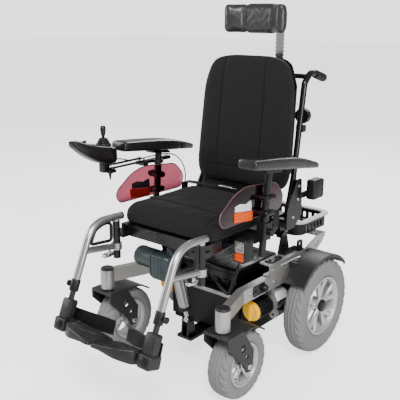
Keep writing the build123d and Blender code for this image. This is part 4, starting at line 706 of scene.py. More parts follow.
@dataclass
class SidedPart:
    """A sub-assembly drawn on the chair's left and mirrored for its right."""

    shop: Workshop
    side: int

    @property
    def label(self) -> str:
        """Side name."""
        return "left" if self.side > 0 else "right"

    def put(self, name: str, shape: Shape, finish: Finish, body: str, slot: str = "black_plastic",
            node: str = "", sharp: float = SHARP) -> Thing:
        """Makes a piece of this side; a name, body or node that ends in "_" gets the side's name.

        Args:
            name: Piece name.
            shape: The shape as drawn on the left.
            finish: Its look.
            body: Body that it rides on.
            slot: Name of a material slot; not used.
            node: CAD node that it stands for, or nothing.
            sharp: Edges that turn by more than this many degrees stay sharp.

        Returns:
            The object.
        """
        name, body, node = (text + self.label if text.endswith("_") else text
                            for text in (name, body, node))
        return self.shop.piece(name, shape.side(self.side), finish, body, slot, [node] if node else (),
                               sharp)


# ---- wheels ------------------------------------------------------------------------
@dataclass
class Wheel(SidedPart):
    """One pneumatic wheel: grooved tyre, spoked rim, hub cap and valve. Sizes are millimetres."""

    name: str
    centre: tuple[float, float, float]
    radius: float
    width: float
    rim_radius: float
    lugs: int
    cap: Finish
    spokes: int = 5
    twin: float = 0.0
    hub: float = 24.0
    tread: float = 5.0
    first_spoke: float = 0.31

    @property
    def body(self) -> str:
        """Body that the pieces ride on, less the side's name."""
        return self.name + "_wheel_"

    def tyre(self) -> None:
        """Tyre as a grid of angle by section.

        The section is a superellipse of power 2.9. Its shoulders sink by the tread's depth where
        sin((lugs * angle + 2.6 sin 5s) / 2) is near zero, s being the share of half the width, and
        its crown sinks along three grooves round it, as Gaussians of s.
        """
        around, across = 14 * self.lugs, 72
        angle = np.linspace(0, 2 * np.pi, around, endpoint=False)[:, None]
        wall = self.radius - self.rim_radius
        section = squircle(self.width, wall, 2.9, across)
        x = np.broadcast_to(section[None, :, 0], (around, across))
        radius = (self.radius + self.rim_radius) / 2 + section[None, :, 1]
        share = np.abs(x) / (self.width / 2)
        crown = held((radius - self.rim_radius) / wall * 2.4 - 1.2)
        swirl = np.sin((self.lugs * angle + 2.6 * np.sin(share * 5.0) * np.sign(x) + np.where(x > 0, 0.8,
                0.0)) / 2)
        blocks = hill(swirl, 0, 0.34) * held((share - 0.40) * 9) * crown
        grooves = hill(share, 0.34, 0.06) + 0.8 * hill(share, 0, 0.06)
        rib = 0.9 * hill(radius - self.rim_radius, 16, 2.2)
        radius = radius - self.tread * blocks - 0.8 * self.tread * grooves * crown
        x = x + np.sign(x) * (rib - 2.2 * blocks)
        points = np.stack([x, radius * np.cos(angle), radius * np.sin(angle)], -1) + np.array(self.centre)
        node = "rear_tyre_" if self.name == "drive" else "caster_tyre_"
        self.put(f"{self.name}_{self.label}_tyre", lattice(points, closed_rows=True), TYRE, self.body,
                 "grey_tyre", node, 50)

    def rim(self) -> None:
        """Rim: turned barrel with a rolled lip, a dished hub and swept spokes between them."""
        half = self.width / 2
        lip, well = self.rim_radius + 3.0, self.rim_radius - 9.0
        barrel = turned([(lip, half - 15), (lip + 3, half - 9), (lip + 1, half - 5), (lip - 4, half - 5),
                         (lip - 7, half - 9), (well, half - 17), (well, -half + 12), (lip - 4, -half + 5),
                         (lip + 2, -half + 5), (lip + 2, -half + 12), (well + 5, -half + 22),
                         (well + 5, half - 26)], self.centre, "x", 96, closed=True)
        hub = turned([(POLE, half - 12), (self.hub * 0.6, half - 12), (self.hub * 0.72, half - 14),
                      (self.hub, half - 17), (self.hub + 2, half - 24), (self.hub + 3, -half + 22),
                      (POLE, -half + 20)], self.centre, "x", 48)
        shape = barrel + hub
        section = squircle(17 if self.twin else 22, 15, 3.2, 20)
        for index in range(self.spokes):
            middle = 2 * np.pi * index / self.spokes + self.first_spoke
            for lean in ((-self.twin, self.twin) if self.twin else (0.0,)):
                shape = shape + self._spoke(middle, lean, section, well, half)
        node = "rear_rim_" if self.name == "drive" else "caster_rim_"
        self.put(f"{self.name}_{self.label}_rim", shape, RIM_SILVER, self.body, "silver_rim", node, 45)

    def _spoke(self, middle: float, lean: float, section: Points, well: float, half: float) -> Shape:
        """One arm from the hub to the well, dished outward by a parabola.

        Args:
            middle: Angle of the spoke pair's centre line.
            lean: How far, in radians, its outer end lies from that line.
            section: Its section.
            well: Radius that it reaches.
            half: Half the wheel's width.

        Returns:
            The arm.
        """
        share = np.linspace(0, 1, 14)
        radius = (self.hub - 4) + share * (well + 2 - self.hub + 4)
        angle = middle + lean * (0.25 + 0.75 * share)
        x = half - 22 + 5.0 * share * share - 3 * np.sin(np.pi * share)
        path = np.stack([x, radius * np.cos(angle), radius * np.sin(angle)], 1) + np.array(self.centre)
        width = 1.0 + 0.28 * (2 * share - 1) ** 2 + 0.25 * share
        return carried(path, section, np.stack([width, np.ones_like(width)], 1), up=(1, 0, 0))

    def trim(self) -> None:
        """Hub cap, its screws and the valve."""
        half = self.width / 2
        x, y, z = self.centre
        start = f"{self.name}_{self.label}_"
        cap = turned([(self.hub * 0.95, half - 14), (self.hub * 0.93, half - 7),
                      (self.hub * 0.75, half - 3.5), (self.hub * 0.35, half - 2), (POLE, half - 2)],
                      self.centre, "x", 40)
        self.put(start + "hub_cap", cap, self.cap, self.body)
        reach = self.hub + (13 if self.twin else 6)
        angles = [2 * np.pi * index / self.spokes + self.first_spoke for index in range(self.spokes)]
        screws = [bolt((x + half - 16, y + reach * math.cos(a), z + reach * math.sin(a)), "x", 1, 4.2, 4)
                  for a in angles]
        self.put(start + "rim_screws", combine(screws), CHROME, self.body, "silver_rim")
        c, s = math.cos(math.radians(222)), math.sin(math.radians(222))
        base = np.array([x + half - 16, y + (self.rim_radius - 14) * c, z + (self.rim_radius - 14) * s])
        stem = pipe([base, base + np.array([9, -3 * c, -3 * s])], 3.0, 1.0, up=(0, 1, 0.3), count=12)
        self.put(start + "valve", stem, BRASS, self.body, "silver_rim")

    def build(self) -> None:
        """Makes every piece."""
        self.tyre()
        self.rim()
        self.trim()


# ---- chassis -----------------------------------------------------------------------
@dataclass
class Chassis:
    """Finishes of the frame's CAD parts, and the boxes, clamps, caps and screws on it."""

    shop: Workshop
    nodes: dict[str, Thing]
    rail_x: float = 215.0
    motor: tuple[float, float, float] = (197.0, -272.0, 217.0)

    def paint(self) -> None:
        """Materials of the CAD nodes that show."""
        chart = {SILVER: ("side_rails", "side_channels", "rear_gussets", "motor_clamps", "rack_rim"),
                 BLACK_GLOSS: ("base_crossframe", "tie_down_brackets", "drive_units"),
                 CHARCOAL: ("caster_fork_left", "caster_fork_right", "rear_fenders", "barrel_caps"),
                 BLACK_PLASTIC: ("battery_box", "rack_basket"), BATTERY: ("batteries",)}
        for finish, names in chart.items():
            for name in names:
                self.shop.repaint(self.nodes[name], finish)

    def electronics(self) -> None:
        """Glossy box with a lid that overhangs it, and connectors on its front."""
        (x0, y0, z0), (x1, y1, z1) = (self.shop.from_frame(corner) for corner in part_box("electronics_box"))
        box = soft_block((x0 + 6, y0 + 6, z0 + 2), (x1 - 6, y1 - 6, z1 - 12), 7)
        lid = soft_block((x0, y0, z1 - 24), (x1, y1, z1), 8)
        rib = combine([soft_block((x0 + 34 + 46 * i, y0 + 20, z1 - 2),
                                  (x0 + 46 + 46 * i, y1 - 20, z1 + 1.2), 1.4) for i in range(4)])
        self.shop.piece("electronics_shell", box + lid + rib, BLACK_GLOSS, "base", "black_plastic",
                        ["electronics_box"])
        plugs = [soft_block((x, y0 - 1, z0 + 14), (x + 30, y0 + 9, z0 + 34), 3) for x in (-80, -34, 12, 58)]
        self.shop.piece("electronics_plugs", combine(plugs), BLACK_PLASTIC, "base")
        strip = soft_block((-146, -305.5, 252), (146, -301, 267), 1.5)
        self.shop.piece("battery_box_strip", strip, SILVER, "base", "silver_frame")

    def screws(self) -> None:
        """Button heads along the rails, channels, clamps and gussets."""
        heads = []
        for side in (1, -1):
            outer = side * (self.rail_x + 15)
            heads += [bolt((outer, y, 309), "x", side, 6, 4) for y in (-330, -240, -190, -40, 30, 90)]
            heads += [bolt((outer, y, 356), "x", side, 5, 4) for y in (-200, -20)]
            heads += [bolt((outer - side * 1.0, y, z), "x", side, 5, 4)
                      for y, z in ((40, 345), (100, 366), (150, 396))]
        self.shop.piece("chassis_screws", combine(heads), CHROME, "base", "silver_frame")
        knob = turned([(13, 0), (14, 4), (13, 15), (9, 20), (POLE, 21)], (230, -262, 312), "x", 18)
        self.shop.piece("rail_knobs", knob.pair(), BLACK_PLASTIC, "base", "black_frame")
        outline = rounded_line([(-318, 292), (-250, 292), (-250, 330), (-318, 330)], 7, 6, closed=True)
        plate = slab(outline, 230.1, 233.5, 1, "x") + bolt((233.5, -305, 311), "x", 1, 5, 4)
        self.shop.piece("rail_plates", plate.pair(), BLACK_GLOSS, "base", "black_frame")

    def motors(self) -> None:
        """Labels wrapped round the motors, and ribs turned round their ends."""
        motor_x, _, motor_z = self.motor
        angle = np.radians(np.linspace(15, 95, 16))[:, None]
        y = np.linspace(-168, -92, 4)[None]
        radius, inner_radius = 36.35, 35.9
        grid = np.stack([motor_x + radius * np.cos(angle) + 0 * y, y + 0 * angle,
                         motor_z + radius * np.sin(angle) + 0 * y], -1)
        inner = grid.copy()
        inner[..., 0] = motor_x + (grid[..., 0] - motor_x) * inner_radius / radius
        inner[..., 2] = motor_z + (grid[..., 2] - motor_z) * inner_radius / radius
        label = lattice(np.concatenate([grid, inner[:, ::-1]], 1))
        self.shop.piece("motor_labels", label.pair(), WHITE_PATCH, "base", "drive_unit")
        ribs = [turned([(35, y - 1.6), (37.4, y - 1.0), (37.4, y + 1.0), (35, y + 1.6)],
                       (motor_x, 0, motor_z), "y", 40) for y in range(-262, -199, 7)]
        self.shop.piece("motor_ribs", combine(ribs).pair(), BLACK_GLOSS, "base", "drive_unit")

    def release_caps(self) -> None:
        """Yellow turning caps: a turned disc with a rounded rim, a bar across it and four screws."""
        x, y, z = self.motor
        for side, label in SIDES:
            front = y - 0.3
            disc = turned([(POLE, front), (35, front), (35.5, front - 4), (33.5, front - 11),
                           (30, front - 13.5), (23, front - 14), (21, front - 12), (POLE, front - 12)],
                           (x, 0, z), "y", 60)
            bar = soft_block((x - 6, front - 20.5, z - 32), (x + 6, front - 8, z + 32), 4.5)
            dial = turned([(POLE, front - 10), (15, front - 12), (13, front - 16.5), (POLE, front - 17)],
                          (x, 0, z), "y", 32)
            node = "release_cap_" + label
            self.shop.piece("release_knob_" + label, (disc + bar + dial).side(side), YELLOW,
                            "release_lever_" + label, "yellow_cap", [node])
            screws = combine([bolt((x + dx, front - 13, z + dz), "y", -1, 3.6, 2.5) for dx in (24, -24)
                              for dz in (9, -9)])
            self.shop.piece("release_screws_" + label, screws.side(side), CHROME, "release_lever_" + label,
                            "yellow_cap")

    def fork_details(self) -> None:
        """Axle nuts of the casters."""
        x, y, z = CASTER_CENTRE
        for side, label in SIDES:
            nuts = [bolt((x + sign * 50, y, z), "x", sign, 10, 7) for sign in (1, -1)]
            self.shop.piece("caster_axle_nuts_" + label, combine(nuts).side(side), CHROME,
                            "caster_" + label, "charcoal_fork")

    def build(self) -> None:
        """Makes every piece."""
        self.paint()
        self.electronics()
        self.screws()
        self.motors()
        self.release_caps()
        self.fork_details()


# ---- padded goods --------------------------------------------------------------------
class Upholsterer:
    """Inflates padded pieces by cloth simulation, then sews channels and piping into them."""

    FRAMES = 20
    QUALITY = 5

    def __init__(self, shop: Workshop) -> None:
        """Keeps the workshop that makes the pieces."""
        self.shop = shop

    def inflate(self, thing: Thing, voxel: float, pressure: float, cap: float) -> None:
        """Swells a closed pad: remesh, cloth with inner pressure, moves capped, one subdivision.

        Args:
            thing: The pad, whose mesh is replaced.
            voxel: Remesh size in metres.
            pressure: Cloth pressure.
            cap: Largest move of a point, in metres.
        """
        scene = bpy.context.scene
        remesh = thing.modifiers.new("even", "REMESH")
        remesh.mode, remesh.voxel_size = "VOXEL", voxel
        self._apply(thing)
        rest = self._points(thing.data)
        cloth = thing.modifiers.new("swell", "CLOTH")
        cloth.settings.quality = self.QUALITY
        cloth.settings.use_pressure = True
        cloth.settings.uniform_pressure_force = pressure
        cloth.settings.effector_weights.gravity = 0
        cloth.point_cache.frame_start, cloth.point_cache.frame_end = 1, self.FRAMES
        for frame_number in range(1, self.FRAMES + 1):
            scene.frame_set(frame_number)
        self._apply(thing)
        scene.frame_set(1)
        moved = self._points(thing.data) - rest
        length = np.linalg.norm(moved, axis=1)
        factor = np.minimum(1.0, cap / np.maximum(length, 1e-9))
        self._set_points(thing.data, rest + moved * factor[:, None])
        divide = thing.modifiers.new("smooth", "SUBSURF")
        divide.levels = divide.render_levels = 1
        self._apply(thing)

    @staticmethod
    def _apply(thing: Thing) -> None:
        """Puts the modifiers' result into the object's mesh."""
        graph = bpy.context.evaluated_depsgraph_get()
        graph.update()
        mesh = bpy.data.meshes.new_from_object(thing.evaluated_get(graph))
        thing.modifiers.clear()
        old = thing.data
        thing.data = mesh
        bpy.data.meshes.remove(old)

    @staticmethod
    def _points(mesh: bpy.types.Mesh) -> Points:
        """The mesh's points, in metres."""
        points = np.empty(len(mesh.vertices) * 3, np.float32)
        mesh.vertices.foreach_get("co", points)
        return points.reshape(-1, 3).astype(float)

    @staticmethod
    def _set_points(mesh: bpy.types.Mesh, points: Points) -> None:
        """Puts points into the mesh."""
        mesh.vertices.foreach_set("co", np.asarray(points, np.float32).ravel())
        mesh.update()

    def shape_points(self, thing: Thing, move: Callable[[Points], Points]) -> None:
        """Moves a pad's points by a function of their place in millimetres.

        Args:
            thing: The pad.
            move: Takes points and returns how far each moves.
        """
        points = self._points(thing.data)
        local = self.shop.from_frame(points)
        self._set_points(thing.data, points + move(local) * MM)
        thing.data.polygons.foreach_set("use_smooth", np.ones(len(thing.data.polygons), bool))

    def on_surface(self, thing: Thing, line: Points, direction: Sequence[float]) -> Points:
        """Where rays from a line's points first meet a pad.

        Args:
            thing: The pad.
            line: Start points in millimetres, outside the pad.
            direction: The rays' direction.

        Returns:
            The points that were hit, in millimetres.
        """
        tree = self._tree(thing)
        places = [tree.ray_cast(Vector(start), Vector(direction))[0]
                  for start in self.shop.into_frame(line)]
        return self.shop.from_frame([np.array(place) for place in places if place is not None])

    def hugging(self, thing: Thing, line: Points, rise: float) -> Points:
        """Points of a pad's surface nearest to a line's points, raised off it.

        Args:
            thing: The pad.
            line: Points in millimetres.
            rise: How far the result stands off the surface, in millimetres.

        Returns:
            The raised points, in millimetres.
        """
        tree = self._tree(thing)
        found = [tree.find_nearest(Vector(start))[:2] for start in self.shop.into_frame(line)]
        return np.array([self.shop.from_frame(np.array(place)) + np.array(normal) * rise
                         for place, normal in found])

    @staticmethod
    def _tree(thing: Thing) -> BVHTree:
        """Search tree of an object's faces."""
        return BVHTree.FromPolygons([v.co for v in thing.data.vertices],
                                    [p.vertices for p in thing.data.polygons])

    def piping(self, name: str, line: Points, radius: float, finish: Finish, body: str, slot: str,
               closed: bool = False) -> Thing:
        """Round cord sewn along a line, smoothed by a moving average of five points."""
        kernel = np.ones(5) / 5
        if closed:
            padded_line = np.vstack([line[-2:], line, line[:2]])
        else:
            padded_line = np.vstack([line[:1]] * 2 + [line] + [line[-1:]] * 2)
        smooth = np.stack([np.convolve(padded_line[:, i], kernel, "valid") for i in range(3)], 1)
        main = smooth[-1] - smooth[0] if not closed else smooth[len(smooth) // 4] - smooth[0]
        up = (0, -1, 0.2) if abs(main[1]) < max(abs(main[0]), abs(main[2])) else (0, 0, 1)
        return self.shop.piece(name, carried(smooth, circle(radius, 10), up=up, closed=closed), finish,
                               body, slot, (), 60)


@dataclass
class SeatCushion:
    """Crowned seat pad with side pull, sewn border and cross channels."""

    shop: Workshop
    tailor: Upholsterer
    half_width: float = 205.0
    front: float = -516.0
    rear: float = -127.0
    low: float = 522.0
    high: float = 590.0

    def build(self) -> None:
        """Pad from a profile carried round a rounded rectangle, swollen, then sewn."""
        outline = rounded_line([(-self.half_width, self.front), (self.half_width, self.front),
                                (self.half_width, self.rear), (-self.half_width, self.rear)], 40, 10,
                                closed=True)
        outline = even_loop(outline, 120)
        rings = []
        for factor, level in ((0.02, 0.0), (0.5, 0.0), (0.93, 0.0), (0.975, 0.08), (0.985, 0.28),
                              (0.98, 0.55), (0.96, 0.75),
                              (0.9, 0.88), (0.75, 0.97), (0.5, 1.02), (0.25, 1.04), (0.02, 1.05)):
            rings.append(self._ring(outline, factor, level))
        shape = lattice(np.stack(rings))
        pad = self.shop.piece("seat_pad", shape, SEAT_CLOTH, "", "seat_fabric", ["seat_cushion"], 180)
        self.tailor.inflate(pad, 0.007, 4.0, 0.006)
        self.tailor.shape_points(pad, self._sew)
        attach(pad, "seat")
        self.borders(pad, outline)

    def _ring(self, outline: Points, factor: float, level: float) -> Points:
        """Outline drawn to its middle by a factor, at a share of the pad's wall.

        The front edge falls away by 18 mm over its first 60, as a square.
        """
        centre = np.array([0.0, (self.front + self.rear) / 2])
        flat = centre + (outline - centre) * factor
        fall = held((self.front + 60 - flat[:, 1]) / 60) ** 2 * 18 * level
        return np.column_stack([flat, self.low + level * (self.high - self.low) - fall])

    def _sew(self, points: Points) -> Points:
        """Sides drawn in by 4(1 - (y/half)^2), the top crowned, channels pressed in, wrinkles over all of it.

        One channel runs across the front and one along each side, as Gaussians 4.5 mm wide.
        """
        x, y, z = points.T
        middle = (self.front + self.rear) / 2
        span = (self.rear - self.front) / 2
        up = held((z - self.low - 30) / 20)
        side = held((np.abs(x) - 185) / 20)
        dx = -np.sign(x) * side * 4.0 * (1 - ((y - middle) / span) ** 2)
        channel = 5.0 * hill(y, -418.0, 4.5) + 4.0 * hill(np.abs(x), 168, 4.5)
        edge = held((self.half_width - np.abs(x)) / 20) * held((y - self.front - 6) / 25)
        wrinkle = 0.9 * np.sin(x / 13 + 1.7 * np.sin(y / 31)) * np.sin(y / 17 + np.sin(x / 41)) * edge
        dz = up * (-channel * edge + wrinkle + 3.5 * np.cos(x / 205 * np.pi / 2))
        return np.stack([dx, np.zeros_like(dx), dz], 1)

    def borders(self, pad: Thing, outline: Points) -> None:
        """Piping round the lower and upper rims of the pad's wall."""
        for label, factor, level in (("low", 1.002, 0.16), ("high", 0.985, 0.80)):
            line = self.tailor.hugging(pad, self._ring(outline, factor, level), 0.4)
            self.tailor.piping("seat_piping_" + label, line, 1.9, WEBBING, "seat", "seat_fabric",
                               closed=True)


@dataclass
class BackCushion:
    """Arched back pad with two upright channels, a lower cross channel and piping."""

    shop: Workshop
    tailor: Upholsterer
    bottom: float = 609.0
    front_y: float = -116.0
    lean: float = 5.4
    half_width: float = 210.0
    height: float = 480.0
    thickness: float = 52.0

    def place(self, x: Points, up: Points, depth: Points) -> Points:
        """Points from across, up the back and forward of its rear face."""
        angle = math.radians(self.lean)
        y = self.front_y + up * math.sin(angle) + (self.thickness - depth) * math.cos(angle)
        z = self.bottom + up * math.cos(angle) - (self.thickness - depth) * math.sin(angle)
        return np.stack([x + 0 * y, y, z], -1)

    def outline(self) -> Points:
        """Face outline: square below, arched above."""
        w, h = self.half_width, self.height
        corners = [(-w + 18, 0), (w - 18, 0), (w, 50), (w - 3, 190), (w - 12, h - 110), (w - 45, h - 18),
                   (w - 120, h), (-w + 120, h), (-w + 45, h - 18), (-w + 12, h - 110), (-w + 3, 190),
                   (-w, 50)]
        return even_loop(rounded_line(corners, 34, 8, closed=True), 150)

    def build(self) -> None:
        """Pad from a profile carried round the outline, swollen, then sewn and piped."""
        outline = self.outline()
        rings = []
        for factor, depth in ((0.02, 2.0), (0.6, 2.0), (0.95, 2.0), (0.985, 8.0), (0.992, 20.0),
                              (0.985, 32.0), (0.955, 42.0),
                              (0.88, 48.0), (0.7, 51.0), (0.45, 52.0), (0.2, 52.0), (0.02, 52.0)):
            rings.append(self._ring(outline, factor, depth))
        pad = self.shop.piece("back_pad", lattice(np.stack(rings)), SEAT_CLOTH, "", "seat_fabric",
                              ["back_cushion"], 180)
        self.tailor.inflate(pad, 0.007, 4.0, 0.006)
        self.tailor.shape_points(pad, self._sew)
        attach(pad, "back")
        self.pipings(pad, outline)
        self.apron()

    def apron(self) -> None:
        """Cloth flap that hangs from the pad's lower rear edge behind the seat, waved by sin(x/38)."""
        x, z = np.meshgrid(np.linspace(-176, 176, 60), np.linspace(548, 622, 16), indexing="ij")
        y = -92 + 1.2 * np.sin(x / 38) + 0.1 * (z - 548)
        front, rear = np.stack([x, y, z], -1), np.stack([x, y + 2.2, z], -1)
        shape = lattice(np.concatenate([front, rear[:, ::-1]], 1))
        self.shop.piece("back_apron", shape, SEAT_CLOTH, "back", "seat_fabric", (), 60)

    def _seam(self, up: Points) -> Points:
        """How far the upright seams stand from the middle: 88 + 6 sin(pi up / height)."""
        return 88 + 6 * np.sin(up / self.height * np.pi)

    def _local(self, points: Points) -> tuple[Points, Points, Points]:
        """Across, up the back and depth of points in the frame's millimetres."""
        angle = math.radians(self.lean)
        y, z = points[:, 1] - self.front_y, points[:, 2] - self.bottom
        return points[:, 0], y * math.sin(angle) + z * math.cos(angle), self.thickness - (y
                * math.cos(angle) - z * math.sin(angle))

    def _sew(self, points: Points) -> Points:
        """Channels pressed in by Gaussians across the seams, panels crowned between them, soft wrinkles."""
        x, up, depth = self._local(points)
        front = held((depth - 30) / 14)
        seam_x = self._seam(up)
        channel = 6.0 * hill(np.abs(x), seam_x, 4.5) * held((up - 60) / 10)
        channel += 5.0 * hill(up, 66, 4.5)
        crown = 4.0 * np.cos(np.clip(x / seam_x, -1, 1) * np.pi / 2) ** 0.7
        crown += 3.0 * np.sin(held((np.abs(x) - seam_x) / (self.half_width - seam_x)) * np.pi)
        edge = held((self.half_width - np.abs(x)) / 25) * held((self.height - up) / 25)
        wrinkle = 0.8 * np.sin(up / 15 + 1.3 * np.sin(x / 37)) * np.sin(x / 23 + np.sin(up / 47))
        move = front * (crown * 0.9 - channel + wrinkle) * edge
        angle = math.radians(self.lean)
        return np.stack([0 * move, -move * math.cos(angle), move * math.sin(angle)], 1)

    def _ring(self, outline: Points, factor: float, depth: float) -> Points:
        """Outline drawn to its middle by a factor, at a depth before the rear face."""
        centre = np.array([0.0, self.height * 0.5])
        flat = centre + (outline - centre) * factor
        return self.place(flat[:, 0], flat[:, 1], np.full(len(flat), depth))

    def pipings(self, pad: Thing, outline: Points) -> None:
        """Piping round both rims, and sewn cords in the channels."""
        for label, factor, depth in (("front", 0.988, 40.0), ("rear", 0.995, 10.0)):
            line = self.tailor.hugging(pad, self._ring(outline, factor, depth), 0.4)
            self.tailor.piping("back_piping_" + label, line, 1.9, WEBBING, "back", "seat_fabric",
                               closed=True)
        down = (0, math.cos(math.radians(self.lean)), -math.sin(math.radians(self.lean)))
        up = np.linspace(70, self.height - 14, 60)
        seam = self._seam(up)
        across = np.linspace(-self.half_width + 10, self.half_width - 10, 60)
        for label, x, rise in (("left", seam, up), ("right", -seam, up),
                               ("low", across, np.full(60, 66.0))):
            line = self.tailor.on_surface(pad, self.place(x, rise, np.full(60, 140.0)), down)
            self.tailor.piping("back_seam_" + label, line, 1.5, WEBBING, "back", "seat_fabric")


@dataclass
class Headrest:
    """Three-part leather pad with sewn joints, and its black gloss joint behind."""

    shop: Workshop
    tailor: Upholsterer
    low: float = 1149.0
    high: float = 1259.0
    rear: float = 44.0
    half: float = 61.0
    wing: float = 70.0
    thick: float = 48.0

    def build(self) -> None:
        """Section carried along a bow: flat in the middle, wings turned forward, sunk at the two joints."""
        share = np.linspace(-1, 1, 61)
        reach = self.half + self.wing
        x = share * reach
        bow = held((np.abs(x) - self.half + 8) / (self.wing + 8))
        y = self.rear - self.thick / 2 - 60 * bow ** 1.25
        x = x * (1 - 0.06 * bow)
        path = np.stack([x, y, np.full_like(x, (self.low + self.high) / 2)], 1)
        end = held((1 - np.abs(share)) / 0.10)
        joint = 1 - 0.13 * hill(np.abs(x), self.half, 3.5)
        tall = (0.80 + 0.20 * np.sqrt(held(end * (2 - end)))) * (1 - 0.10 * bow) * joint
        deep = (0.25 + 0.75 * np.sqrt(held(end * (2 - end)))) * (1 - 0.18 * bow) * joint
        section = squircle(self.thick, self.high - self.low, 2.8, 40)
        shape = carried(path, section, np.stack([deep, tall], 1))
        pad = self.shop.piece("head_pad", shape, LEATHER, "", "head_leather", ["headrest_pad"], 180)
        self.tailor.inflate(pad, 0.005, 3.0, 0.003)
        self.tailor.shape_points(pad, self._sew)
        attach(pad, "headrest")
        for sign, label in SIDES:
            z = np.linspace(self.low + 8, self.high - 8, 24)
            start = np.stack([np.full(24, sign * self.half), np.full(24, -160.0), z], 1)
            line = self.tailor.on_surface(pad, start, (0, 1, 0))
            self.tailor.piping("head_seam_" + label, line, 1.3, LEATHER, "headrest", "head_leather")
        self.joint()

    def _sew(self, points: Points) -> Points:
        """Two channels pressed in at the joints and fine creases over the face."""
        x, y, z = points.T
        front = held((self.rear - 10 - y) / 20)
        channel = 4.0 * hill(np.abs(x), self.half, 3.2)
        crease = 0.45 * np.sin(z / 5 + 1.6 * np.sin(x / 11)) * np.sin(x / 8 + np.sin(z / 13))
        return np.stack([0 * x, front * (channel - crease), 0 * z], 1)

    def joint(self) -> None:
        """Back plate, ears and pin of the pad's joint."""
        plate = soft_block((-34, self.rear - 1, 1170), (34, self.rear + 5, 1230), 5)
        ears = combine([soft_block((s * 12.4 - 3, self.rear + 2, 1186), (s * 12.4 + 3, 112, 1214), 2.5)
                        for s in (1, -1)])
        pin = turned([(5, -19), (6, -18), (6, -16), (4.9, -15), (4.9, 15), (6, 16), (6, 18), (5, 19)],
                     (0, 100, 1200), "x", 20)
        screws = combine([bolt((sx * 24, self.rear + 5, 1200 + sz * 20), "y", 1, 4, 3) for sx in (1, -1)
                          for sz in (1, -1)])
        self.shop.piece("head_joint", plate + ears + pin + screws, BLACK_GLOSS, "headrest", "bright_steel",
                        (), 40)


@dataclass
class LapBelt:
    """Webbing laid over the seat pad, drops at its sides, and a bright release buckle."""

    shop: Workshop
    tailor: Upholsterer
    y: float = -163.0
    width: float = 38.0

    def build(self) -> None:
        """Webbing follows the pad's crown, z = 600.5 + 6 cos^0.8, and falls straight at the sides."""
        x = np.linspace(-206, 206, 40)
        z = 600.5 + 6.0 * np.cos(x / 206 * np.pi / 2) ** 0.8
        path = np.column_stack([x, np.full(40, self.y) + 3 * np.sin(x / 60), z])
        left = np.array([[-211, self.y, 506], [-211, self.y, 540], [-211, self.y, 580],
                         [-210, self.y, 596]])
        right = left[::-1] * np.array([-1, 1, 1])
        line = rounded_line(np.vstack([left, path, right]), 5, 3)
        strap = self._ribbon(line, self.width, 2.0)
        self.shop.piece("lap_webbing", strap, WEBBING, "seat", "seat_fabric", ["lap_belt"], 60)
        self.buckle()
        anchors = combine([soft_block((s * 192 - 16, self.y - 20, 485), (s * 192 + 16, self.y + 20, 513), 4)
                           for s in (1, -1)])
        self.shop.piece("belt_anchors", anchors, BLACK_PLASTIC, "seat")

    @staticmethod
    def _ribbon(line: Points, width: float, thickness: float) -> Shape:
        """Flat band along a line of constant Y: width across Y, thickness along the line's normal."""
        tangent = unit_rows(np.gradient(line, axis=0))
        across = np.array([0.0, 1.0, 0.0])
        normal = unit_rows(np.cross(tangent, across))
        section = squircle(width, thickness, 6, 20)
        return lattice(line[:, None] + section[None, :, 0:1] * across
                       + section[None, :, 1:2] * normal[:, None])

    def buckle(self) -> None:
        """Bright housing and tongue, with a black push button on top."""
        z = 609.0
        body = soft_block((-30, self.y - 24, z - 1), (30, self.y + 24, z + 11), 4.5)
        button = soft_block((-17, self.y - 15, z + 8), (17, self.y + 15, z + 13), 3)
        tongue = soft_block((28, self.y - 17, z + 1), (48, self.y + 17, z + 6), 1.8)
        self.shop.piece("belt_buckle", body + tongue, CHROME, "seat", "seat_fabric")
        self.shop.piece("belt_button", button, BLACK_GLOSS, "seat", "seat_fabric")


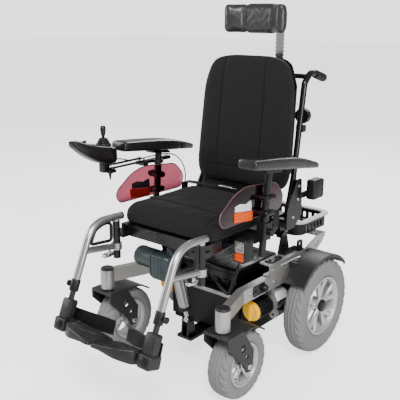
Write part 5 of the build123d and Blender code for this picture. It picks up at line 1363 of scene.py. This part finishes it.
# ---- arm rests ---------------------------------------------------------------------
@dataclass
class Armrest(SidedPart):
    """Pad, post trim and clear panel of one side."""

    front: float
    tilt: float
    pad_x: float = 249.0
    length: float = 415.0
    foot: tuple[float, float] = (-297.0, 440.0)
    lean: float = 5.3

    @property
    def body(self) -> str:
        """Body that the pieces ride on."""
        return "armrest_" + self.label

    def post_y(self, z: float) -> float:
        """Y of the post's centre line at a height."""
        return self.foot[0] + (z - self.foot[1]) * math.tan(math.radians(self.lean))

    def pad(self) -> None:
        """Pad lofted along Y: its roof arches, its underside is flat, and both ends are rounded."""
        top = 732.0
        share = np.concatenate([np.linspace(0, 0.05, 10), np.linspace(0.07, 0.94, 44),
                                np.linspace(0.955, 1, 10)])
        y = self.front + share * self.length
        nose = np.sqrt(held(1 - held((0.035 - share) / 0.035) ** 2))
        tail = np.sqrt(held(1 - held((share - 0.965) / 0.035) ** 2))
        roof = np.interp(share, [0, 0.3, 0.55, 0.78, 1], [36.5, 42, 43.5, 35.5, 18])
        roof = smoothed(roof, 4)
        inner = np.interp(share, [0, 0.5, 1], [36.5, 33, -3.5])
        outer = np.interp(share, [0, 0.45, 1], [36.5, 36.5, 25.5])
        width = (inner + outer) * (0.86 + 0.14 * nose) * (0.5 + 0.5 * tail)
        height = (roof - 0.6) * (0.72 + 0.28 * nose) * (0.45 + 0.55 * tail)
        joint = 1 - 0.05 * hill(share, 0.76, 0.006)
        path = np.stack([self.pad_x + (outer - inner) / 2, y, top + 0.6 + (roof - 0.6) / 2], 1)
        section = squircle(1, 1, 4.2, 48)
        spread = np.stack([section[None, :, 0] * (width * joint)[:, None], np.zeros((len(share), 48)),
                           section[None, :, 1] * (height * joint)[:, None]], -1)
        shape = self.tilted(lattice(path[:, None] + spread))
        pad = self.put("arm_cushion_", shape, ARM_SKIN, self.body, "arm_foam", "arm_pad_", 60)
        divide = pad.modifiers.new("smooth", "SUBSURF")
        divide.levels = divide.render_levels = 1
        dot = bolt((self.pad_x + 22.5, self.front + self.length * 0.955, top + 9), "x", 1, 4, 1.5)
        self.put("arm_pad_stud_", self.tilted(dot), CHROME, self.body, "arm_foam")

    def tilted(self, shape: Shape) -> Shape:
        """Shape drawn level over the post, tilted front up."""
        return shape.turn("x", -self.tilt, (0, self.post_y(732), 732))

    def panel(self) -> None:
        """Clear skirt guard with an easy outline, a thicker dark rim bead that paints the edge line light
        draws along the acrylic, its reflector and a plain patch.
        """
        corners = [(-489, 578), (-507, 603), (-500, 626), (-431, 674), (-374, 690), (-327, 687),
                   (-199, 674), (-151, 622), (-164, 576)]
        outline = rounded_line(corners, 22, 8, closed=True)
        sheet = slab(outline, 226.2, 229.8, 1.5, "x")
        self.put("skirt_guard_", sheet, PANEL, self.body, "panel_acrylic", "side_panel_")
        lens = slab(rounded_line([(-434, 584), (-435, 617), (-337, 604), (-339, 572)], 4, 5, closed=True),
                    229.8, 234.0, 1.4, "x")
        self.put("reflector_", lens, REFLECTOR, self.body, "panel_acrylic")
        corners = [(-429, 618), (-429, 636), (-402, 640), (-372, 633), (-345, 641), (-340, 622),
                   (-341, 606)]
        patch = rounded_line(corners, 2, 3, closed=True)
        face = slab(patch, 229.9, 230.4, 0.2, "x")
        self.put("panel_patch_", face, WHITE_PATCH, self.body, "panel_acrylic")
        back = slab(patch, 225.6, 226.1, 0.2, "x")
        self.put("panel_patch_back_", back, BLACK_PLASTIC, self.body, "panel_acrylic")
        # painted edge line: a dark opaque cord round the sheet's rim, for the line that light draws along the
        # acrylic's edge
        edge = carried(np.column_stack([np.full(len(outline), 228.0), outline]), circle(1.95, 10),
                       up=(1, 0, 0), closed=True)
        self.put("panel_edge_", edge, PAINTED_EDGE_LINE, self.body, "panel_acrylic", "", 60)

    def post_trim(self) -> None:
        """Bosses and screws of the panel clamps, and the socket's clamp knob."""
        bosses, screws = [], []
        for z in (589.0, 640.0):
            y = self.post_y(z)
            bosses.append(turned([(8, -25), (9, -24), (9, 24), (8, 25)], (246 + 13, y, z), "y", 24))
            bosses.append(soft_block((258, y - 24, z - 9), (266, y + 24, z + 9), 3))
            for dy in (-16, 16):
                screws.append(bolt((266, y + dy, z), "x", 1, 4.2, 3))
        self.put("post_bosses_", combine(bosses), BLACK_GLOSS, self.body, "black_frame")
        self.put("post_screws_", combine(screws), DARK_PLATE, self.body, "bright_steel")
        z = 528.0
        profile = [(POLE, 0), (9, 0), (9, 6), (12.5, 8), (13, 16), (10, 19), (POLE, 19.5)]
        knob = turned(profile, (265, self.post_y(z), z), "x", 24)
        self.put("socket_knob_", knob, BLACK_PLASTIC, "seat")

    def build(self) -> None:
        """Makes every piece."""
        self.pad()
        self.panel()
        self.post_trim()


# ---- controller ----------------------------------------------------------------------
@dataclass
class Controller:
    """Case, joystick, bellows and key on the right arm."""

    shop: Workshop
    stick: tuple[float, float, float] = (-262.0, -526.0, 786.0)

    def case(self) -> None:
        """Case lofted along Y: sections are superellipses whose floor and roof follow two eased curves."""
        x, y, z = self.stick
        at = np.array([34, 30, 8, -20, -52, -90, -115, -136, -141.0])
        roof = np.array([-12, -8, -1, 3, 10, 20, 28, 31, 27.0])
        floor = np.array([-60, -64, -68, -62, -49, -26, -8, 10, 18.0])
        half = np.array([30, 34, 36, 35, 33, 28, 23, 17, 10.0])
        share = np.linspace(0, 1, 60)
        knots = np.linspace(0, 1, len(at))
        ys, roofs, floors, halves = (np.interp(share, knots, v) for v in (at, roof, floor, half))
        roofs, floors, halves = (smoothed(v, 2) for v in (roofs, floors, halves))
        section = squircle(2, 2, 4.2, 48)
        points = np.stack([x + section[None, :, 0] * halves[:, None],
                           np.broadcast_to((y + ys)[:, None], (60, 48)),
                           z + ((roofs + floors) / 2)[:, None]
                           + section[None, :, 1] * ((roofs - floors) / 2)[:, None]], -1)
        carrier = soft_block((-284, -520, 686), (-240, -489, 698), 3)
        neck = soft_block((-276, -540, 690), (-248, -512, 742), 5)
        point = turned([(7.5, 0), (7.5, -6), (5, -10), (3, -26), (0.8, -31), (POLE, -31)],
                       (-262, -500, 688), "z", 20)
        shape = lattice(points) + carrier + neck
        self.shop.piece("control_case", shape, BLACK_GLOSS, "controller", "black_plastic",
                        ["controller_case"], 45)
        self.shop.piece("control_point", point, BLACK_PLASTIC, "controller")
        seat = turned([(26, -6), (27, 0), (25, 5), (22, 6.5), (19, 6), (19, -8)], (x, y, z), "z", 48)
        self.shop.piece("stick_collar", seat, BLACK_PLASTIC, "controller")
        self.panel()

    def panel(self) -> None:
        """Four plain lights and the charge socket's flap."""
        x, y, z = self.stick
        about = (x, y - 84, z + 20)
        lights = combine([soft_block((x - 16 + 9 * i, y - 112, z + 21), (x - 11 + 9 * i, y - 109, z + 23.4),
                                     0.8) for i in range(4)])
        self.shop.piece("control_lights", lights.turn("x", -12, about), REFLECTOR, "controller",
                        "lamp_lens")
        flap = soft_block((x - 9, y + 30, z - 52), (x + 9, y + 36, z - 36), 3)
        self.shop.piece("charge_flap", flap, BLACK_PLASTIC, "controller")

    def joystick(self) -> None:
        """Bellows as three rings on the case, gimbal and stick, and the knob above them."""
        x, y, z = self.stick
        rings = (("controller", 22.5, 5.0, "bellows_low"), ("gimbal", 19.5, 12.0, "bellows_middle"),
                 ("joystick", 15.5, 19.0, "bellows_high"))
        for body, radius, level, name in rings:
            fold = turned([(radius * 0.45, level - 4), (radius, level - 3.2), (radius + 1, level),
                           (radius, level + 2.6), (radius * 0.7, level + 4.6),
                           (radius * 0.45, level + 4.8)], (x, y, z), "z", 40, closed=True)
            nodes = {"gimbal": ["joystick_gimbal"], "joystick": ["joystick_knob"]}.get(body, [])
            self.shop.piece(name, fold, BLACK_PLASTIC, body, "black_plastic", nodes)
        knob = turned([(POLE, 18), (5, 18), (5, 30), (7, 34), (8.2, 40), (9.6, 48), (10, 56), (9.2, 62),
                       (6.5, 65.4), (POLE, 66)], (x, y, z), "z", 36)
        self.shop.piece("stick_knob", knob, BLACK_GLOSS, "joystick")

    def links(self) -> None:
        """Two flat links with round eyes, and their pin heads."""
        for x, low, high, label, body in ((-251, 698.5, 704.7, "inner", "swing_link_a"),
                                          (-273, 705.3, 711.8, "outer", "swing_link_b")):
            bar = soft_block((x - 6, -500, low), (x + 6, -343, high), 2.0)
            rim = [(3.2, low), (8.5, low), (9.0, low + 0.8), (9.0, high - 0.8), (8.5, high), (3.2, high)]
            eyes = combine([turned(rim, (x, y, 0), "z", 28, closed=True) for y in LINK_ENDS])
            self.shop.piece("link_" + label, bar + eyes, BLACK_GLOSS, body, "black_frame",
                            ["swing_link_" + label])
            pins = combine([bolt((x, y, 712), "z", 1, 4.5, 3) for y in LINK_ENDS])
            self.shop.piece("link_pins_" + label, pins, CHROME, body, "bright_steel")

    def key(self) -> None:
        """Round power key with a raised rim, square to the sloping roof."""
        x, y, z = self.stick
        cap = turned([(POLE, 0.6), (4.5, 0.8), (5.5, 1.8), (7.6, 2.0), (8, 0.5), (7.6, -2.5), (POLE, -2.6)],
                     (x, y - 84, z + 22), "z", 30).turn("x", 15.1, (x, y - 84, z + 22))
        self.shop.piece("power_key_cap", cap, DARK_PLATE, "power_key", "black_plastic", ["power_button"])

    def build(self) -> None:
        """Makes every piece."""
        self.case()
        self.joystick()
        self.links()
        self.key()


# ---- leg rests ---------------------------------------------------------------------
@dataclass
class LegRest(SidedPart):
    """Hanger, leg tube and footplate of one side."""

    x: float = 190.0
    knee: tuple[float, float] = (-744.0, 340.0)
    shin: tuple[float, float] = (-0.3981, -0.9173)
    hinge: tuple[float, float, float] = (165.0, -764.0, 252.0)
    toe_up: float = 18.0

    def hanger(self) -> None:
        """Bent tube, stay, collar and the moulded trim loop."""
        tube = pipe([(self.x, -524, 548), (self.x, -652, 552), (self.x, -744, 340)], 12.5, 62, up=(1, 0, 0),
                    count=32)
        stay = pipe([(self.x, -692, 463.3), (self.x, -560, 446)], 11, 1, up=(1, 0, 0), count=28)
        collar = turned([(13.4, 431.5), (17.5, 432), (18, 434), (18, 454), (17.5, 456), (13.4, 456.5)],
                        (self.x, -545, 0), "z", 32, closed=True)
        cap = turned([(POLE, 533.4), (12, 533.4), (12.5, 535), (12.5, 545)], (self.x, -545, 0), "z", 28)
        end = turned([(POLE, 0), (12.4, 0), (13.2, 1.5), (13.2, 6), (12.4, 7)], (self.x, -524, 548), "y",
                     28)
        self.put("hanger_tube_", (tube + stay + collar + cap), TUBE_SILVER, "legrest_", "silver_frame",
                 "hanger_")
        self.put("hanger_plug_", end, BLACK_PLASTIC, "legrest_")
        loop = pipe([(self.x, -570, 470), (self.x, -570, 533), (self.x, -602, 537), (self.x, -640, 523),
                     (self.x, -663, 478)], 5.5, 13, up=(1, 0, 0), count=16, closed=True)
        self.put("trim_loop_", loop, BLACK_PLASTIC, "legrest_")
        self.sleeve()

    def along(self, distance: float) -> tuple[float, float, float]:
        """Point down the leg tube from the hanger's end."""
        return (self.x, self.knee[0] + self.shin[0] * distance, self.knee[1] + self.shin[1] * distance)

    def sleeve(self) -> None:
        """Moulded clamp sleeve round the hanger's end, with its finger screw."""
        path = np.array([self.along(d) for d in (-40, -36, -4, 0)])
        shape = carried(path, circle(15.5, 32), np.array([0.93, 1.0, 1.0, 0.93]), up=(1, 0, 0))
        screw = turned([(5, 0), (5, 10), (10, 12), (10.5, 19), (8, 21), (POLE, 21)],
                       (self.along(-20)[0] + 12, *self.along(-20)[1:]), "x", 16)
        self.put("leg_sleeve_", (shape + screw), BLACK_PLASTIC, "legrest_")

    def to_foot(self, shape: Shape) -> Shape:
        """Shape drawn flat at the foot hinge, pitched toe up."""
        return shape.turn("x", -self.toe_up).move(*self.hinge)

    def leg(self) -> None:
        """Inner tube, clamp block, hinge block with its bolt cap, and the moulded heel loop."""
        tube = pipe([self.along(-100), self.along(58)], 9.5, 1, up=(1, 0, 0), count=28)
        section = squircle(46, 34, 5, 32)
        path = np.array([self.along(d) for d in (27, 31, 60, 86, 90)])
        clamp = carried(path, section, np.array([0.86, 1, 1, 1, 0.95]), up=(0, self.shin[1], -self.shin[0]))
        block = self.to_foot(soft_block((0.5, -42, -42), (52, 14, 2), 8))
        body = "leg_"
        self.put("leg_inner_tube_", tube, DARK_PLATE, body, "black_plastic", "leg_tube_")
        self.put("leg_block_", (clamp + block), DARK_PLATE, body)
        cap = self.to_foot(turned([(POLE, -47.5), (11, -47.5), (14.5, -45.5), (15, -42), (15, -40)],
                                  (26, 0, -20), "y", 36))
        self.put("hinge_cap_", cap, BLACK_PLASTIC, body)
        pin = self.to_foot(turned([(POLE, -44), (4, -43.5), (4.6, -42), (4.6, -24.4), (POLE, -24.3)],
                                  (0, 0, 0), "y", 18) + turned([(POLE, -5.7), (4.6, -5.6), (4.6, 10),
                                                                (4, 12), (POLE, 12)], (0, 0, 0), "y", 18))
        self.put("hinge_knuckles_", pin, BLACK_PLASTIC, body)
        self.heel()

    def heel(self) -> None:
        """Band with rounded rims: a tall flat section carried along a bow behind the plate."""
        line = rounded_line([(44, 11.5, 0), (4, 12, 0), (-50, 24.5, 0), (-100, 42.5, 0), (-134, 50.5, 0)],
                            26, 8)
        share = np.linspace(0, 1, len(line))
        path = line + np.array([0.0, 0.0, 10.0])
        scale = np.stack([np.ones(len(line)), 1.0 - 0.16 * share ** 2], 1)
        band = carried(path, squircle(5, 52, 7, 32), scale)
        rim = combine([carried(path + np.array([0, 0, s * 25]) * scale[:, 1:2], circle(3.2, 12))
                       for s in (1, -1)])
        self.put("heel_loop_", self.to_foot(band + rim), BLACK_PLASTIC, "leg_", "black_plastic", "", 60)

    def plate(self) -> None:
        """Footplate as rings in an eased outline: thick at the hinge, thin at its inner end, raised rim.

        Shallow diagonal ribs rise 0.9 mm where sin(0.62 (0.8 x + y)) is high.
        """
        corners = [(-7.5, -42), (-7.5, 5), (-50, 12), (-120, 32), (-163, 35), (-163, -83), (-60, -75)]
        outline = even_loop(rounded_line(corners, 16, 8, closed=True), 160)
        centre = np.array([-85.0, -22.0])
        rings = []
        steps = [(POLE, 0, 0), (0.5, 0, 0), (0.9, 0, 0), (0.97, 0, 0.04), (1.0, 0, 0.18), (1.0, 1, -0.18),
                 (0.985, 1, -0.03), (0.965, 1, 0.02), (0.945, 1, -0.06)] + [(f, 1, -0.07)
                         for f in np.linspace(0.92, 0.01, 30)]
        for factor, upper, shift in steps:
            flat = centre + (outline - centre) * factor
            x, y = flat[:, 0], flat[:, 1]
            along = held((-x - 20) / 143)
            top = -20 * along
            bottom = -42 + (42 - 31) * held(along * 1.4)
            bottom = np.minimum(bottom, top - 11)
            thick = top - bottom
            level = top if upper else bottom
            z = level + shift * np.minimum(thick, 26)
            if upper and factor < 0.93:
                z = z + 0.9 * np.clip(3 * np.sin((x * 0.8 + y) * 0.62), -1, 1) * held((0.9 - factor) * 14)
            rings.append(np.stack([x, y, z], 1))
        shape = self.to_foot(lattice(np.stack(rings)))
        self.put("foot_plate_", shape, DARK_PLATE, "foot_", "black_plastic", "footplate_", 45)
        knuckle = self.to_foot(turned([(POLE, -23.6), (4.6, -23.6), (4.6, -6.4), (POLE, -6.4)], (0, 0, 0),
                                      "y", 18) + soft_block((-10, -23.6, -4.4), (0.5, -6.4, -0.2), 1))
        self.put("plate_knuckle_", knuckle, DARK_PLATE, "foot_")

    def latch(self) -> None:
        """Bright latch paddle with an upturned finger end, and its pivot boss."""
        corners = [(self.x - 6, -559.4), (self.x + 6, -559.4), (self.x + 14, -590), (self.x + 7, -612),
                   (self.x - 9, -612), (self.x - 14, -590)]
        paddle = slab(rounded_line(corners, 6, 6, closed=True), 416.2, 427.8, 4, "z")
        boss = turned([(POLE, 426), (5, 426), (5, 435.8), (4.4, 436.4), (POLE, 436.4)], (self.x, -580, 0),
                      "z", 20)
        self.put("latch_paddle_", (paddle + boss), CHROME, "latch_", "bright_steel", "hanger_latch_")

    def build(self) -> None:
        """Makes every piece."""
        self.hanger()
        self.leg()
        self.plate()
        self.latch()


# ---- lamps, actuator, back and rack -----------------------------------------------------
@dataclass
class Lamps:
    """Front pods with a clear over an amber lens, and tail pods with an amber over a red one."""

    shop: Workshop

    def build(self) -> None:
        """Rounded housings, framed lenses and the stays to the seat."""
        shell = soft_block((205, -398, 440), (253, -349, 520), 11)
        rim = pipe([(209, -399, 444), (249, -399, 444), (249, -399, 516), (209, -399, 516)], 3.4, 8,
                   up=(0, 1, 0), count=12, closed=True)
        tail = soft_block((218, 15, 567), (256, 76, 641), 9)
        edge = pipe([(221, 77, 571), (253, 77, 571), (253, 77, 637), (221, 77, 637)], 3.2, 7, up=(0, 1, 0),
                    count=12, closed=True)
        clear = soft_block((210, -403.5, 475), (248, -394, 515), 5)
        amber = soft_block((210, -403.5, 445), (248, -394, 473.5), 5) + soft_block((220.5, 71, 604.5),
                (253.5, 89, 637), 5)
        red = soft_block((220.5, 71, 571), (253.5, 89, 603.5), 5)
        stays = soft_block((176, -380, 488), (211, -358, 508), 3) + soft_block((217, -20, 576),
                (222, 29, 600), 2.3)
        housings = (shell + rim) + (tail + edge)
        self.shop.piece("lamp_housings", housings.pair(), BLACK_PLASTIC, "seat", "black_plastic", ["lamps"])
        self.shop.piece("lamp_stays", stays.pair(), BLACK_GLOSS, "seat", "black_frame")
        for name, shape, finish in (("lamp_lenses_clear", clear, CLEAR_LENS),
                                    ("lamp_lenses_amber", amber, REFLECTOR),
                                    ("lamp_lenses_red", red, RED_LENS)):
            self.shop.piece(name, shape.pair(), finish, "seat", "lamp_lens")


@dataclass
class TiltActuator:
    """Motor, gear housing, outer tube and push rod."""

    shop: Workshop
    top: tuple[float, float] = (-474.0, 455.0)
    foot: tuple[float, float] = (-389.0, 165.0)

    def along(self, distance: float) -> tuple[float, float, float]:
        """Point down the actuator's axis."""
        step = np.array(self.foot) - np.array(self.top)
        step = step / np.linalg.norm(step)
        return (0.0, self.top[0] + step[0] * distance, self.top[1] + step[1] * distance)

    def build(self) -> None:
        """Cast housing with ribs, turned motor, bright tube and ram."""
        my, mz = self.top[0] - 8, self.top[1] - 49
        housing = soft_block((-62, my - 38, mz - 58), (15, my + 44, mz + 33), 14)
        lug = soft_block((-14, self.top[0] - 15, mz + 20), (14, self.top[0] + 15, self.top[1] + 13), 10)
        motor = turned([(POLE, -143), (27, -143), (33, -139), (35, -134), (35, -60), (POLE, -60)],
                       (0, my, mz), "x", 48)
        band = turned([(35, -128), (36, -127), (36, -122), (35, -121)], (0, my, mz), "x", 48)
        rib = combine([soft_block((-58 + 16 * i, my - 39.5, mz - 46), (-54 + 16 * i, my - 30, mz + 26), 1.5)
                       for i in range(4)])
        screws = combine([bolt((15, my + a, mz + b), "x", 1, 4, 3)
                          for a, b in ((-28, -46), (32, -46), (-28, 26), (32, 26))])
        self.shop.piece("actuator_case", housing + lug + motor + band + rib, ACTUATOR, "actuator_housing",
                        "actuator_grey", ["actuator_body"])
        self.shop.piece("actuator_screws", screws, CHROME, "actuator_housing", "bright_steel")
        tube = pipe([self.along(88), self.along(246)], 20.5, 1, up=(1, 0, 0), count=36)
        ring = pipe([self.along(236), self.along(249)], 22.5, 1, up=(1, 0, 0), count=36)
        self.shop.piece("actuator_tube", tube, TUBE_SILVER, "actuator_housing", "bright_steel")
        self.shop.piece("actuator_seal", ring, BLACK_PLASTIC, "actuator_housing")
        self.shop.repaint(bpy.data.objects["actuator_rod"], CHROME)


@dataclass
class BackFrame:
    """Paint of the canes and the seat's frame, and the grips, knobs and screws on them."""

    shop: Workshop
    nodes: dict[str, Thing]

    def build(self) -> None:
        """Repaints the frame and adds ribbed grips, knob faces and clamp screws."""
        for name in ("back_frame", "recline_brackets", "seat_frame", "arm_post_left", "arm_post_right"):
            self.shop.repaint(self.nodes[name], BLACK_GLOSS)
        self.shop.repaint(self.nodes["headrest_bar"], CHROME)
        self.shop.repaint(self.nodes["armrest_sockets"], BLACK_PLASTIC)
        start, end = np.array([190.0, 91.0, 1013.0]), np.array([190.0, 150.0, 996.0])
        share = np.linspace(0, 1, 60)
        bump = 1 + 0.06 * np.sin(share * 2 * np.pi * 9)
        bump[0], bump[-1] = 0.85, 0.8
        grip = carried(start + (end - start) * share[:, None], circle(14.6, 28), bump, up=(1, 0, 0))
        self.shop.piece("push_grips", grip.pair(), BLACK_PLASTIC, "back")
        y = -27 + (870 - 650) * 48 / 335
        angle = np.linspace(0, 2 * np.pi, 90, endpoint=False)
        lobe = 27.2 + 1.1 * np.cos(10 * angle)
        steps = ((0.02, 6), (0.9, 6), (1, 8), (1, 23), (0.94, 27), (0.6, 28.5), (0.5, 27), (0.02, 27))
        rings = [np.stack([190 + lobe * factor * np.cos(angle), np.full(90, y + depth),
                           870 + lobe * factor * np.sin(angle)], 1) for factor, depth in steps]
        self.shop.piece("cane_knobs", lattice(np.stack(rings)).pair(), BLACK_PLASTIC, "back")
        heads = [bolt((217, -62 + dy, 515 + dz), "x", 1, 6, 4).side(s) for s in (1, -1)
                 for dy, dz in ((0, 0), (28, 62), (32, 110))]
        self.shop.piece("recline_screws", combine(heads), CHROME, "seat", "bright_steel")


SEAT_ROUTE = (
    (196.0, -330.0, 470.0), (193.0, -332.0, 440.0), (186.0, -342.0, 400.0), (176.0, -352.0, 360.0),
    (164.0, -352.0, 320.0), (146.0, -342.0, 290.0), (118.0, -322.0, 279.0), (84.0, -300.0, 277.5),
    (52.0, -284.0, 280.0), (30.0, -269.6, 290.0))
CONTROL_ROUTE = (
    (-236.0, -491.6, 735.0), (-235.0, -470.0, 733.0), (-234.0, -440.0, 722.0), (-233.5, -400.0, 717.0),
    (-233.0, -350.0, 719.0), (-225.0, -305.0, 722.0), (-222.0, -262.0, 721.0), (-224.0, -222.0, 714.0),
    (-229.0, -186.0, 698.0), (-229.5, -154.0, 668.0), (-229.0, -138.0, 630.0), (-227.0, -142.0, 592.0),
    (-222.0, -164.0, 557.0), (-214.0, -192.0, 528.0), (-198.0, -214.0, 510.0), (-177.9, -224.0, 503.0))


@dataclass
class Leads:
    """The curly seat lead and the controller's lead."""

    shop: Workshop
    coil_radius: float = 0.0046
    coil_pitch: float = 0.0078
    straight_end: float = 0.035
    seat_route: Sequence[Sequence[float]] = SEAT_ROUTE
    control_route: Sequence[Sequence[float]] = CONTROL_ROUTE

    def spline(self, route: Sequence[Sequence[float]], resolution: int = 12) -> Points:
        """Points of the NURBS line whose control points are the route, in metres."""
        curve = bpy.data.curves.new("route", "CURVE")
        curve.dimensions = "3D"
        spline = curve.splines.new("NURBS")
        spline.points.add(len(route) - 1)
        for point, place in zip(spline.points, self.shop.into_frame(np.array(route))):
            point.co = (*place, 1)
        spline.order_u, spline.use_endpoint_u, spline.resolution_u = 3, True, resolution
        thing = link_object("route", curve)
        bpy.context.view_layer.update()
        mesh = bpy.data.meshes.new_from_object(thing)
        points = np.empty(len(mesh.vertices) * 3, np.float32)
        mesh.vertices.foreach_get("co", points)
        bpy.data.objects.remove(thing)
        bpy.data.curves.remove(curve)
        bpy.data.meshes.remove(mesh)
        return points.reshape(-1, 3).astype(float)

    @staticmethod
    def length(points: Points) -> float:
        """Length of a line through points."""
        return float(np.linalg.norm(np.diff(points, axis=0), axis=1).sum())

    def tube(self, name: str, line: Points, radius: float, count: int = 12) -> Thing:
        """Round sheath along a line in metres, as a piece without a body."""
        local = self.shop.from_frame(line)
        tangent = unit_rows(np.gradient(local, axis=0))
        normal = np.cross(tangent[0], [0.3, 0.2, 0.93])
        normals = []
        for step in tangent:
            normal = normal - step * np.dot(normal, step)
            normal = normal / np.linalg.norm(normal)
            normals.append(normal)
        normals_array = np.array(normals)
        second = np.cross(tangent, normals_array)
        ring = circle(radius, count)
        points = (local[:, None] + ring[None, :, 0:1] * normals_array[:, None]
                  + ring[None, :, 1:2] * second[:, None])
        return self.shop.piece(name, lattice(points), CABLE, "", "cable_black", (), 60)

    def seat_lead(self) -> None:
        """Curly lead: a helix about the route, straight near both ends, bent between base and seat."""
        core = self.spline(self.seat_route, 16)
        step = np.concatenate([[0], np.cumsum(np.linalg.norm(np.diff(core, axis=0), axis=1))])
        total = step[-1]
        at = np.linspace(0, total, int(total / self.coil_pitch * 12))
        middle = np.stack([np.interp(at, step, core[:, i]) for i in range(3)], 1)
        tangent = unit_rows(np.gradient(middle, axis=0))
        side = unit_rows(np.cross(tangent, [1.0, 0.2, 0.1]))
        rise = np.cross(side, tangent)
        ease = held(np.minimum(at, total - at) / self.straight_end)
        ease = ease * ease * (3 - 2 * ease) * self.coil_radius
        angle = 2 * np.pi * at / self.coil_pitch
        line = middle + side * (np.cos(angle) * ease)[:, None] + rise * (np.sin(angle) * ease)[:, None]
        lead = self.tube("seat_lead", line, 2.2, 8)
        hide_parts("seat_cable")
        self.length(line)
        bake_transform(lead)

    def control_lead(self) -> None:
        """Lead in three lengths on its way from the case to the seat, split where Y passes -425 and -230."""
        line = self.spline(self.control_route, 14)
        y = self.shop.from_frame(line)[:, 1]
        first = int(np.argmax(y > -425))
        second = int(np.argmax(y > -230))
        stretches = (("front", line[:first + 1], "swing_link_a", "controller",
                      self.shop.at(-234, -440, 722), self.shop.at(-236, -488, 735)),
                      ("middle", line[first:second + 1], "armrest_right", "swing_link_a",
                       self.shop.at(-225, -300, 722), self.shop.at(-233, -400, 717)),
                       ("rear", line[second:], "seat", "armrest_right", self.shop.at(-215, -190, 530),
                        self.shop.at(-229, -150, 665)))
        for label, part, one, other, start, end in stretches:
            lead = self.tube("control_lead_" + label, part, 2.4, 12)
            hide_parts("controller_cable")
            self.length(part)
            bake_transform(lead)

    def build(self) -> None:
        """Makes both leads."""
        self.seat_lead()
        self.control_lead()


# ---- studio --------------------------------------------------------------------------
@dataclass
class Studio:
    """Pale floor, soft lights and the camera."""

    shop: Workshop
    place: tuple[float, float, float] = (1408.0, -2016.0, 1208.0)
    forward: tuple[float, float, float] = (-0.6163, 0.7405, -0.2681)
    up: tuple[float, float, float] = (-0.1750, 0.2032, 0.9634)
    lens: float = 59.2

    def camera(self) -> None:
        """Camera at the viewing angle."""
        data = bpy.data.cameras.new("camera")
        data.lens, data.sensor_width = self.lens, 36.0
        camera = link_object("camera", data)
        forward, up = Vector(self.forward).normalized(), Vector(self.up).normalized()
        right = forward.cross(up).normalized()
        up = right.cross(forward)
        camera.matrix_world = Matrix.Translation(self.shop.at(*self.place)) @ Matrix((right, up,
                -forward)).transposed().to_4x4()
        bpy.context.scene.camera = camera

    def lamp(self, name: str, place: Sequence[float], target: Sequence[float], size: float,
             power: float) -> None:
        """Square area light aimed at a point."""
        data = bpy.data.lights.new(name, "AREA")
        data.shape, data.size, data.energy = "SQUARE", size, power
        lamp = link_object(name, data)
        lamp.location = Vector(place)
        lamp.rotation_euler = (Vector(target) - Vector(place)).to_track_quat("-Z", "Y").to_euler()

    def floor(self) -> None:
        """Large flat floor just below the wheels."""
        mesh = bpy.data.meshes.new("studio_floor")
        mesh.from_pydata([(-30, -30, 0), (30, -30, 0), (30, 30, 0), (-30, 30, 0)], [], [(0, 1, 2, 3)])
        thing = link_object("studio_floor", mesh)
        thing.location.z = -0.0006
        self.shop.dress(thing, FLOOR)
        self.lighten(thing.active_material, 1.6)

    @staticmethod
    def lighten(material: bpy.types.Material, strength: float) -> None:
        """Glow that only the camera sees, so the floor looks pale and casts no light up."""
        tree = material.node_tree
        shader = next(node for node in tree.nodes if node.type == "BSDF_PRINCIPLED")
        path = tree.nodes.new("ShaderNodeLightPath")
        share = add_node(tree, "Math", {0: path.outputs["Is Camera Ray"], 1: strength},
                         operation="MULTIPLY")
        feed(tree, shader, {"Emission Strength": share.outputs[0], "Emission Color": (1, 1, 1, 1)})

    def build(self) -> None:
        """Makes everything."""
        self.camera()
        self.floor()
        world = bpy.data.worlds.new("studio")
        bpy.context.scene.world = world
        world.use_nodes = True
        tree = world.node_tree
        background = next(node for node in tree.nodes if node.type == "BACKGROUND")
        path = tree.nodes.new("ShaderNodeLightPath")
        share = add_node(tree, "Math", {0: path.outputs["Is Camera Ray"], 1: 1.9, 2: 0.5},
                         operation="MULTIPLY_ADD")
        feed(tree, background, {"Color": (0.93, 0.94, 0.96, 1), "Strength": share.outputs[0]})
        aim = (0.0, 0.0, 0.6)
        for name, place, size, power in (("key", (2.0, -2.4, 3.6), 1.5, 190),
                                         ("fill", (-3.2, -2.0, 1.9), 2.0, 80),
                                         ("rear", (-1.0, 3.2, 2.8), 2.0, 80),
                                         ("front", (3.4, -0.8, 1.2), 1.2, 60)):
            self.lamp(name, place, aim, size, power)


def main() -> None:
    """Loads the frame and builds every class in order."""
    logging.basicConfig(level=logging.INFO, format="%(name)s: %(message)s")
    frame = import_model()
    low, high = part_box("rear_rim_left")
    shop = Workshop(axle_y=(low.y + high.y) / 2)
    nodes = frame["nodes"]
    Studio(shop).build()
    Leads(shop).build()
    tailor = Upholsterer(shop)
    for side in (1, -1):
        Wheel(shop, side, "drive", DRIVE_CENTRE, 179.0, 76.0, 105.0, 30, BLACK_PLASTIC, twin=0.26).build()
        Wheel(shop, side, "caster", CASTER_CENTRE, 119.0, 77.0, 70.0, 22, CHROME, hub=20.0).build()
    Chassis(shop, nodes).build()
    SeatCushion(shop, tailor).build()
    BackCushion(shop, tailor).build()
    Headrest(shop, tailor).build()
    LapBelt(shop, tailor).build()
    Lamps(shop).build()
    TiltActuator(shop).build()
    BackFrame(shop, nodes).build()
    Armrest(shop, 1, -404.0, 8.0).build()
    Armrest(shop, -1, -474.0, 7.0).build()
    Controller(shop).build()
    for side in (1, -1):
        LegRest(shop, side).build()
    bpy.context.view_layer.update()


if __name__ == "__main__":
    main()
